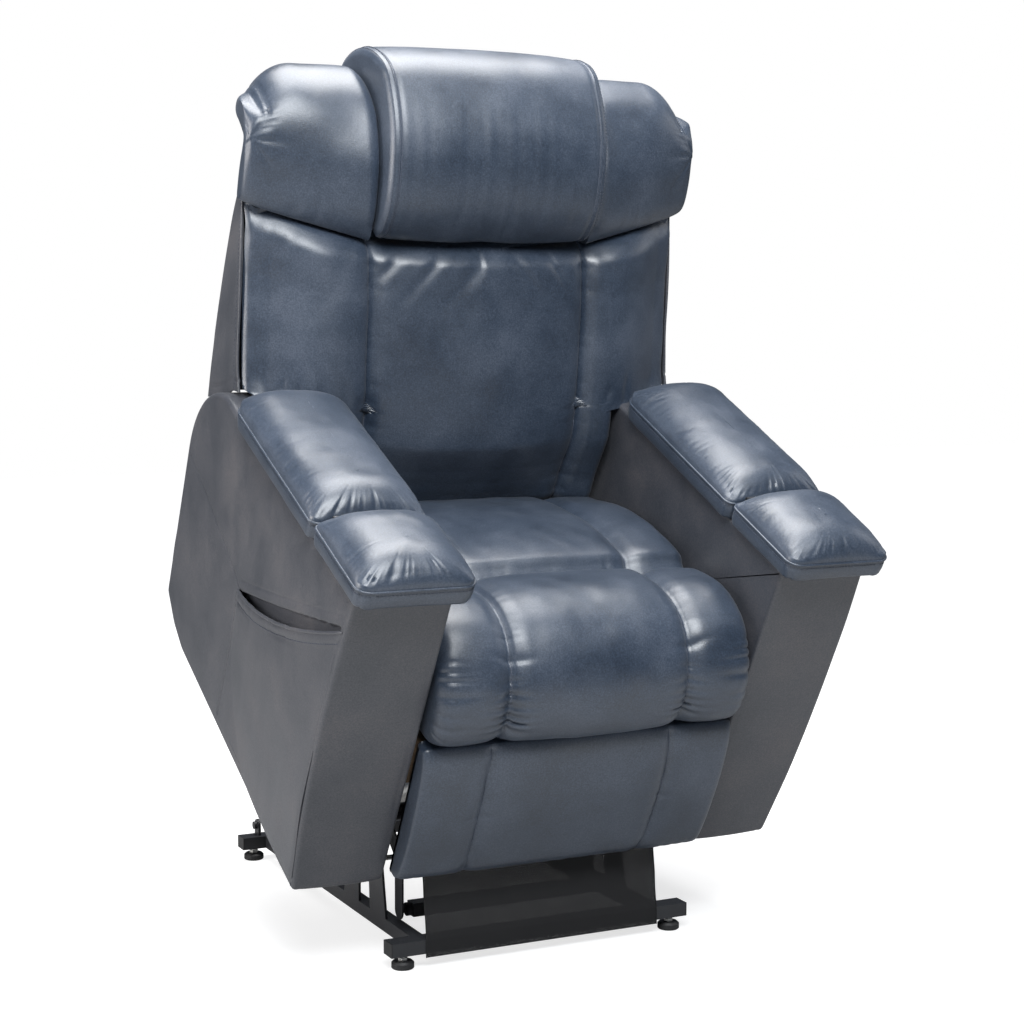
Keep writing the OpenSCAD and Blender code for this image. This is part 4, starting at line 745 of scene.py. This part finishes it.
def pad(name, sign, y0, y1, radii, body, lift, seed):
    """A banded arm pad from y0 to y1 with four corner radii, raised by lift off the arm's top."""
    x0, x1, band, crown = 257.0, 439.0, 29.0, 45.0
    mid, half = (x0 + x1) / 2, (x1 - x0) / 2
    L = rounded_rect(x0, x1, y0, y1, radii, 3.6)
    s = distances(L)
    to_mid = np.stack([np.full(len(L), mid), np.clip(L[:, 1], y0 + half * 0.8, y1 - half * 0.8)], -1)
    inset_v = to_mid - L
    reach = np.linalg.norm(inset_v, axis=1)
    rings = []

    def ring(inset, h):
        q = L + inset_v / reach[:, None] * np.minimum(inset, reach)[:, None]
        rings.append(np.stack([q[:, 0], q[:, 1], arm_top(q[:, 1]) + 0.5 + lift + h], -1))
    for inset, h in ((16, 0.2), (8, 0.0), (4.0, 0.6), (2.6, 3)):
        ring(inset, h)
    for k in range(1, 8):
        v = k / 8
        ring(2.2 - 2.0 * math.sin(math.pi * v) + 0.8 * (1 - v), 3 + (band - 3) * v)
    band_ring = len(rings)
    ring(1.6, band)
    ring(1.7, band + 0.4)
    rest = np.linspace(0.012, 1, 46) ** 1.15
    for t in rest:
        q = L + inset_v * t + (inset_v / reach[:, None]) * 1.7 * (1 - t)
        u = np.clip(np.abs(q[:, 0] - mid) / (half - 1), 0, 1)
        f = (1 - u ** 2.5) ** 0.56 * (1 + 0.05 * (q[:, 0] - mid) / half)
        g = np.ones(len(q))
        for v in (q[:, 1] - y0, y1 - q[:, 1]):
            g *= (1 - np.clip(1 - (v - 1.0) / 62, 0, 1) ** 2.2) ** 0.55
        rings.append(np.stack([q[:, 0], q[:, 1], arm_top(q[:, 1]) + 0.9 + lift + band + crown * f * g], -1))
    P = np.array(rings)
    N = outward(P)
    m = len(rings)
    t = np.concatenate([np.zeros(m - len(rest)), rest])[:, None]
    off = t * reach[None, :]
    S = np.broadcast_to(s, off.shape)
    corner = np.exp(-(np.minimum(np.abs(L[:, 0] - x0), np.abs(L[:, 0] - x1)) / 46) ** 2 *
                    (np.minimum(np.abs(L[:, 1] - y0), np.abs(L[:, 1] - y1)) / 46) ** 2)[None, :]
    ends = np.exp(-(np.minimum(np.abs(L[:, 1] - y0), np.abs(L[:, 1] - y1)) / 50) ** 2)[None, :]
    on = np.clip((off - 1) / 9, 0, 1)
    d = on * (0.9 + 2.6 * corner * (0.4 + 0.6 * ends) + 0.8 * ends) * pucker(S, off, 15.5, 27, seed)
    d += on * 1.5 * wave2(P[..., 0] / 60 + seed, P[..., 1] / 75, seed + 1)
    d += on * 0.6 * wave2(P[..., 0] / 22 + seed, P[..., 1] / 26, seed + 2)
    below = (np.arange(m) < band_ring)[:, None]
    corner_seam = np.zeros(len(L))
    for cx, cy in ((x0, y0), (x1, y0), (x0, y1), (x1, y1)):
        j = np.argmin(np.hypot(L[:, 0] - cx, L[:, 1] - cy))
        gap = np.abs((s - s[j] + s[-1] / 2) % s[-1] - s[-1] / 2)
        corner_seam += 1.6 * groove(gap, 5)
    d += below * (corner_seam[None, :] + 0.7 * wave2(S / 50, P[..., 2] / 40, seed + 3))
    P = P - N * d[..., None]
    P[..., 0] *= sign
    soft(skin(name + "_cover", P, chair, seating), body, [name], 0.8)
    edge = P[band_ring].copy()
    mid_xy = np.array([sign * mid, (y0 + y1) / 2, 0])
    away = edge - mid_xy
    away[:, 2] = 0
    away /= np.linalg.norm(away, axis=1)[:, None]
    trim(tube(name + "_piping", [edge + away * 0.8], 1.9, chair, seating, cyclic=True), body)
    line = P[band_ring - 2] + away * 0.5
    cuts = stitches(np.concatenate([line, line[:1]]), 3.6, 5.8)
    trim(tube(name + "_stitches", cuts, 0.45, chair, thread), body)


for sign, side in ((1, "left"), (-1, "right")):
    pad("arm_pad_" + side, sign, 106.0, 484.0, (16, 40, 40, 16), "carriage", 0.0, 80 + sign)
    pad("lid_pad_" + side, sign, -90.0, 98.0, (22, 14, 14, 22), "lid_" + side, 3.6, 90 + sign)


# ---- arms: padded covers over a frame, the right one with a pocket ----
def arm_loop(step):
    fine = [(-35, 35), (590, 32), (647, 47), (704, 81), (704, 379)]
    turn = [math.radians(t) for t in range(3, 90, 3)]
    fine += [(527 + 177 * math.cos(t), 379 + 177 * math.sin(t)) for t in turn]
    fine += [(527, 556), (-55, 588), (-35, 35)]
    L = resample(np.array(fine, float), step)
    for _ in range(3):
        L = (np.roll(L, 1, 0) + 2 * L + np.roll(L, -1, 0)) / 4
    return L


def dome(y, z):
    """How far the outer face swells over its flat plane."""
    return np.maximum(0, 17 - ((y - 62) ** 2 + (z - 335) ** 2) / 6618)


def from_line(y, z, a, b):
    """Signed distance of (y, z) from the line a to b, and the share of the way along it."""
    dy, dz = b[0] - a[0], b[1] - a[1]
    n = math.hypot(dy, dz)
    return ((y - a[0]) * dz - (z - a[1]) * dy) / n, ((y - a[0]) * dy + (z - a[1]) * dz) / n ** 2


POCKET_TOP = ((-46.0, 536.0), (368.0, 314.0))


def arm(sign, side, pocket):
    L = arm_loop(4.4)
    IN = inward(L)
    middle = np.array([330.0, 300.0])
    X, YZ = [], []

    def ring(yz, x):
        YZ.append(yz)
        X.append(x)
    r = 8.0
    Lr = L + IN * r
    width = ARM_OUT - ARM_IN
    grow = (width + dome(L[:, 0], L[:, 1])) / width
    for t in np.linspace(0.04, 1, 34):
        ring(middle + (Lr - middle) * t, np.full(len(L), ARM_IN))
    for k in range(1, 5):
        th = math.pi / 2 * k / 4
        ring(L + IN * r * (1 - math.sin(th)), np.full(len(L), ARM_IN + r * (1 - math.cos(th))))
    for x in np.linspace(r, width - r, 28)[1:-1]:
        ring(L, ARM_IN + x * grow)
    for k in range(0, 5):
        th = math.pi / 2 * k / 4
        ring(L + IN * r * (1 - math.cos(th)), ARM_IN + width * grow - r * (1 - math.sin(th)))
    outer0 = len(X)
    for t in np.linspace(1, 0.02, 76)[1:]:
        q = middle + (Lr - middle) * t
        ring(q, ARM_OUT + dome(q[:, 0], q[:, 1]))
    YZ, X = np.array(YZ), np.array(X)
    Y, Z = YZ[..., 0], YZ[..., 1]
    P = np.stack([X, Y, Z], -1)
    N = outward(P)
    N[outer0:] = (1, 0, 0)
    rows = np.arange(len(X))[:, None]
    outer = (rows >= outer0 - 1) * 1.0
    d = outer * (1.3 * wave2(Y / 120 + 3 * sign, Z / 90, 101) + 0.5 * wave2(Y / 30, Z / 210 + Y / 300, 102))
    # the panel across the front, with its corner seams
    front = (Y < 20) * (rows < outer0) * (rows > 36)
    xx = P[..., 0]
    d += front * (2.0 * groove(xx - ARM_IN - 9, 4) + 2.0 * groove(xx - ARM_OUT - dome(Y, Z) + 11, 4)
                  - 1.5 * np.clip(1 - ((xx - 348) / 68) ** 2, 0, 1) + 0.9 * wave2(xx / 50, Z / 80, 103))
    diag_d, diag_t = from_line(Y, Z, (690, 372), (366, 316))
    d += outer * 1.6 * groove(diag_d, 5) * (diag_t > 0) * (diag_t < 1)
    if pocket:
        # the cover is sunk under the pocket's panel, and most at its mouth
        top_d, top_t = from_line(Y, Z, *POCKET_TOP)
        below_top = np.clip(top_d / 5, 0, 1)
        before_rear = np.clip(((372 - Y) + (312 - Z) * 0.04) / 5, 0, 1)
        patch = below_top * before_rear * np.clip((Y + 38) / 6, 0, 1) * np.clip((Z - 56) / 6, 0, 1)
        d += outer * (5 + 9 * np.exp(-(top_d / 45) ** 2)) * patch
        d += outer * 1.2 * groove(np.abs(top_d) - 16, 4) * (top_t > -0.02) * (top_t < 1) * (below_top == 0)
    P = P - N * d[..., None]
    P[..., 0] *= sign
    node = "arm_cover_" + side
    soft(skin(node + "_leather", P, chair, painted_sheen_leather), "carriage", [node], 0.4, "leather_sides")


arm(1, "left", False)
arm(-1, "right", True)


# ---- side pocket on the right arm ----
POCKET_HEM = 20


def side_pocket():
    rear_y, front_y = 371.0, -44.0
    us = np.linspace(0, 1, 78)
    vs = np.linspace(0, 1, 56)
    U, V = np.meshgrid(us, vs, indexing="xy")
    lip_z = 526 - 214 * U - 92 * U * (1 - U)
    low_z = 47 - 4 * U
    Z = low_z + (lip_z - low_z) * V
    top_y = front_y + (rear_y - front_y) * U
    lean = (18 + 8 * U) * (1 - V)
    Y = top_y + lean * (1 - U) + 8 * U * (1 - V)
    mouth = np.sin(math.pi * np.clip(U, 0, 1)) ** 0.8
    X = ARM_OUT + dome(Y, Z) + 0.8 + 6.0 * mouth * V ** 3
    d = 1.4 * wave2(Y / 110, Z / 100, 121) + 0.5 * wave2(Y / 26, Z / 160 + Y / 260, 122)
    under = (1 - V) * (lip_z - low_z)
    d += 2.2 * groove(under - POCKET_HEM, 3) - 1.6 * bump(under, 0, 17, 4)
    d += 2.0 * np.exp(-under / 70) * pucker(Y, under - POCKET_HEM, 34, 60, 123)
    edge = np.minimum(np.minimum(U, 1 - U) * 415, V * 420)
    d += 2.0 * groove(edge, 8)
    X = X - d
    front = np.stack([-X, Y, Z], -1)
    rear = front.copy()
    rear[..., 0] += 2.6
    obj = skin("side_pocket_leather", sheet_rings(front, rear), chair, painted_sheen_leather, caps=False)
    soft(obj, "carriage", ["side_pocket"], None, "leather_sides")
    lip = front[-1] + [0.8, 0, 0]
    trim(tube("pocket_lip_piping", [lip], 2.6, chair, painted_sheen_leather), "carriage")
    rows = [np.interp(POCKET_HEM, under[::-1, j], np.arange(len(vs))[::-1]) for j in range(len(us))]
    hem = along(front, facing(front, 0, -1), rows, np.arange(len(us)), 0.4)
    cuts = stitches(hem, 4.4, 7.2)
    trim(tube("pocket_hem_stitches", cuts, 0.55, chair, thread), "carriage")


side_pocket()


# ---- shell and panel behind the back ----
SHELL_F = [(574, 556), (592, 584), (616, 637), (640, 700), (670, 773), (703, 842), (715, 892), (712, 946)]
SHELL_R = [(745, 464), (754, 535), (760, 640), (761, 740), (755, 812), (738, 880), (722, 948)]
SHELL_LOW = [(577, 549), (608, 538), (640, 517), (745, 464)]


def curve_at(points, t):
    """Points a share t of the way along a smooth curve."""
    c = smooth_loop(points, 2, closed=False)
    s = distances(c)
    t = np.asarray(t) * s[-1]
    return np.stack([np.interp(t, s, c[:, k]) for k in (0, 1)], -1)


def blend(a, b, t):
    return (1 - t) * np.asarray(a) + t * np.asarray(b)


def shell_surface(half, taper, r):
    """Rings from the left front edge round the rear to the right one, on a patch between four curves."""
    rows = np.linspace(0, 1, 110)
    F, R = curve_at(SHELL_F, rows), curve_at(SHELL_R, rows)
    side = np.linspace(0, 1, 40)
    turn = np.linspace(0, math.pi / 2, 9)[1:]
    rear = np.linspace(1, -1, 90)[1:-1]
    f = np.concatenate([side, np.ones(len(turn)), np.ones(len(rear)), np.ones(len(turn)), side[::-1]])
    base, crown = curve_at(SHELL_LOW, f), curve_at([SHELL_F[-1], SHELL_R[-1]], f)
    f = f[:, None]
    corners = [blend(SHELL_LOW[0], SHELL_LOW[-1], f), blend(SHELL_F[-1], SHELL_R[-1], f)]
    n, m = len(side), len(turn)
    P = np.zeros((len(rows), len(f), 3))
    for i, v in enumerate(rows):
        yz = blend(F[i], R[i], f) + blend(base, crown, v) - blend(*corners, v)
        back_y = R[i, 0]
        rr = min(r, max(back_y - F[i, 0], 1) * 0.6)
        y = yz[:, 0].copy()
        y[:n] -= rr * side
        y[n:n + m] = back_y - rr + rr * np.sin(turn)
        y[-n - m:-n] = back_y - rr + rr * np.sin(turn[::-1])
        y[-n:] = y[:n][::-1]
        flat = half - taper * np.clip((back_y - 600) / 160, 0, 1) - rr
        xs = half - taper * np.clip((y[:n] - 600) / 160, 0, 1)
        bend = flat + rr * np.cos(turn)
        x = np.concatenate([xs, bend, rear * flat, -bend[::-1], -xs[::-1]])
        P[i, :, 0], P[i, :, 1], P[i, :, 2] = x, y, yz[:, 1]
    return P


def back_shell():
    P = shell_surface(399.0, 8.0, 24.0)
    N = facing(P, 1, 1)
    Y, Z, X = P[..., 1], P[..., 2], P[..., 0]
    d = 1.4 * wave2(Y / 70 + X / 300, Z / 130, 131) + 0.5 * wave2((Y + X) / 34, Z / 60, 132)
    down = 1 - np.arange(len(P))[:, None] / len(P)
    d += 1.8 * np.exp(-down * 12) * pucker(X + Y, down * 480, 40, 60, 133)
    low = Z - P[0][None, :, 2]
    d += 1.5 * groove(low - 16, 3)
    outer = P - N * np.clip(d + 1.2, 0, 4)[..., None]
    obj = skin("back_shell_leather", sheet_rings(outer, P - N * 5.0), chair, painted_sheen_leather, caps=False)
    soft(obj, "back", ["back_shell"], None, "leather_sides")
    for name, edge, hem, aside in (("left", 0, 4, -1.2), ("right", -1, -5, 1.2)):
        path = outer[:, edge] + [aside, -0.6, 0]
        trim(tube("shell_piping_" + name, [path], 2.4, chair, painted_sheen_leather), "back")
        cuts = stitches(outer[:, hem] + N[:, hem] * 0.1, 4.2, 7)
        trim(tube("shell_stitches_" + name, cuts, 0.5, chair, thread), "back")


back_shell()


def lower_panel():
    half = 265.6
    F = curve_at([(740, 466), (735, 400), (694.8, 297)], np.linspace(0, 1, 60))
    S, X = np.meshgrid(np.linspace(0, 182, 60), np.linspace(-half, half, 90), indexing="ij")
    P = np.stack([X, np.broadcast_to(F[:, :1], X.shape), np.broadcast_to(F[:, 1:], X.shape)], -1)
    N = facing(P, 1, 1)
    d = 0.8 * wave2(X / 90, S / 70, 141) + 0.8 + 1.2 * groove(half - np.abs(X) - 12, 3)
    rings = sheet_rings(P - N * d[..., None], P - N * 4.6)
    obj = skin("back_lower_leather", rings, chair, painted_sheen_leather, caps=False)
    soft(obj, "back", ["back_lower_panel"], None, "leather_sides")


lower_panel()


# ---- mesh apron between the foot bar and the rod under the seat ----
def mesh_apron():
    low, bend, top = np.array([-17.2, 16.0]), np.array([-17.2, 44.0]), np.array([0.5, 176.6])
    route = [low, bend]
    for k in range(1, 12):
        route.append(bend + (top - bend) * k / 12)
    rod = np.array([6.1, 176.6])
    for t in np.linspace(180, 20, 12):
        route.append(rod + 5.0 * np.array([math.cos(math.radians(t)), math.sin(math.radians(t))]))
    line = resample(np.array(route), 2.6, closed=False)
    s = distances(line)
    half = 207
    xs = np.linspace(-half, half, 140)
    X, S = np.meshgrid(xs, s, indexing="xy")
    P = np.stack([X, np.broadcast_to(line[:, :1], X.shape), np.broadcast_to(line[:, 1:], X.shape)], -1)
    T = np.gradient(line, axis=0)
    T /= np.linalg.norm(T, axis=1)[:, None]
    N = np.stack([-T[:, 1], T[:, 0]], -1)
    free = bump(S, 30, s[-1] - 26, 24)
    d = free * (1.7 * wave2(X / 70 + S / 160, S / 190, 151) + 0.7 * wave2(X / 24 + S / 60, S / 120, 152)
                + 1.6 * np.exp(-((half - np.abs(X)) / 26) ** 2) * wave(S / 30 + np.sign(X) * 5, 153))
    P[..., 1] += N[:, None, 0] * d
    P[..., 2] += N[:, None, 1] * d
    obj = skin("mesh_apron_cloth", P, floor, netting, closed=False, angle=80)
    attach(obj, "base")
    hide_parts("mesh_apron")
    hems = []
    for x in (0, len(xs) - 1):
        hems.append(P[:, x] + [(1.0 if x == 0 else -1.0), 0, 0])
    hem = tube("apron_hems", hems, 1.1, floor, netting)
    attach(hem, "base")
    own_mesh(obj)


mesh_apron()


# ---- floor and light ----
def plain_floor():
    bm = bmesh.new()
    bmesh.ops.create_grid(bm, x_segments=2, y_segments=2, size=9)
    mesh = bpy.data.meshes.new("floor")
    bm.to_mesh(mesh)
    bm.free()
    obj = bpy.data.objects.new("floor", mesh)
    obj.location = (0, 0, cad_box[0][2] - 0.0005)
    bpy.context.scene.collection.objects.link(obj)
    m, nodes, links, shader, coords = new_material("floor")
    n = noise_node(nodes, links, coords, 3, 2)
    c = ramp(nodes, links, n.outputs["Fac"], [(0.3, (0.4, 0.4, 0.4)), (0.7, (0.42, 0.42, 0.42))])
    links.new(c.outputs["Color"], shader.inputs["Base Color"])
    shader.inputs["Roughness"].default_value = 0.6
    # the camera sees a floor that brightens to white away from the chair
    far = nodes.new("ShaderNodeVectorMath")
    far.operation = "LENGTH"
    links.new(coords.outputs["Object"], far.inputs[0])
    glow = ramp(nodes, links, far.outputs["Value"], [(0.35, (0.72, 0.72, 0.72)), (0.9, (1, 1, 1))])
    light_path = nodes.new("ShaderNodeLightPath")
    links.new(glow.outputs["Color"], shader.inputs["Emission Color"])
    links.new(light_path.outputs["Is Camera Ray"], shader.inputs["Emission Strength"])
    obj.data.materials.append(m)


plain_floor()


def area(name, at, to, size, power, colour=(1, 1, 1)):
    data = bpy.data.lights.new(name, "AREA")
    data.shape = "RECTANGLE"
    data.size, data.size_y = size
    data.energy = power
    data.color = colour
    obj = bpy.data.objects.new(name, data)
    obj.location = at
    obj.rotation_euler = (Vector(to) - Vector(at)).to_track_quat("-Z", "Y").to_euler()
    bpy.context.scene.collection.objects.link(obj)


area("overhead", (0, 0.2, 3.3), (0, 0, 0.6), (2.2, 2.0), 130)
area("key", (-0.8, -2.4, 2.8), (0, 0, 0.8), (2.2, 1.3), 140, (0.95, 0.98, 1))
area("left", (-3.4, 0.2, 1.6), (0, 0, 0.6), (1.4, 2.0), 88, (1, 0.97, 0.95))
area("right", (3.0, -0.8, 2.4), (0, 0, 0.7), (1.2, 1.6), 12)

world = bpy.data.worlds.new("world")
world.use_nodes = True
bpy.context.scene.world = world
world_nodes, world_links = world.node_tree.nodes, world.node_tree.links
rays = world_nodes.new("ShaderNodeLightPath")
# the camera sees white, and the chair is lit by a dim blue-grey
seen = world_nodes.new("ShaderNodeMix")
seen.data_type = "RGBA"
seen.inputs[6].default_value = (0.075, 0.085, 0.105, 1)
seen.inputs[7].default_value = (1, 1, 1, 1)
world_links.new(rays.outputs["Is Camera Ray"], seen.inputs[0])
world_links.new(seen.outputs[2], world_nodes["Background"].inputs["Color"])
world_nodes["Background"].inputs["Strength"].default_value = 1.0

bpy.context.scene.view_settings.view_transform = "Standard"
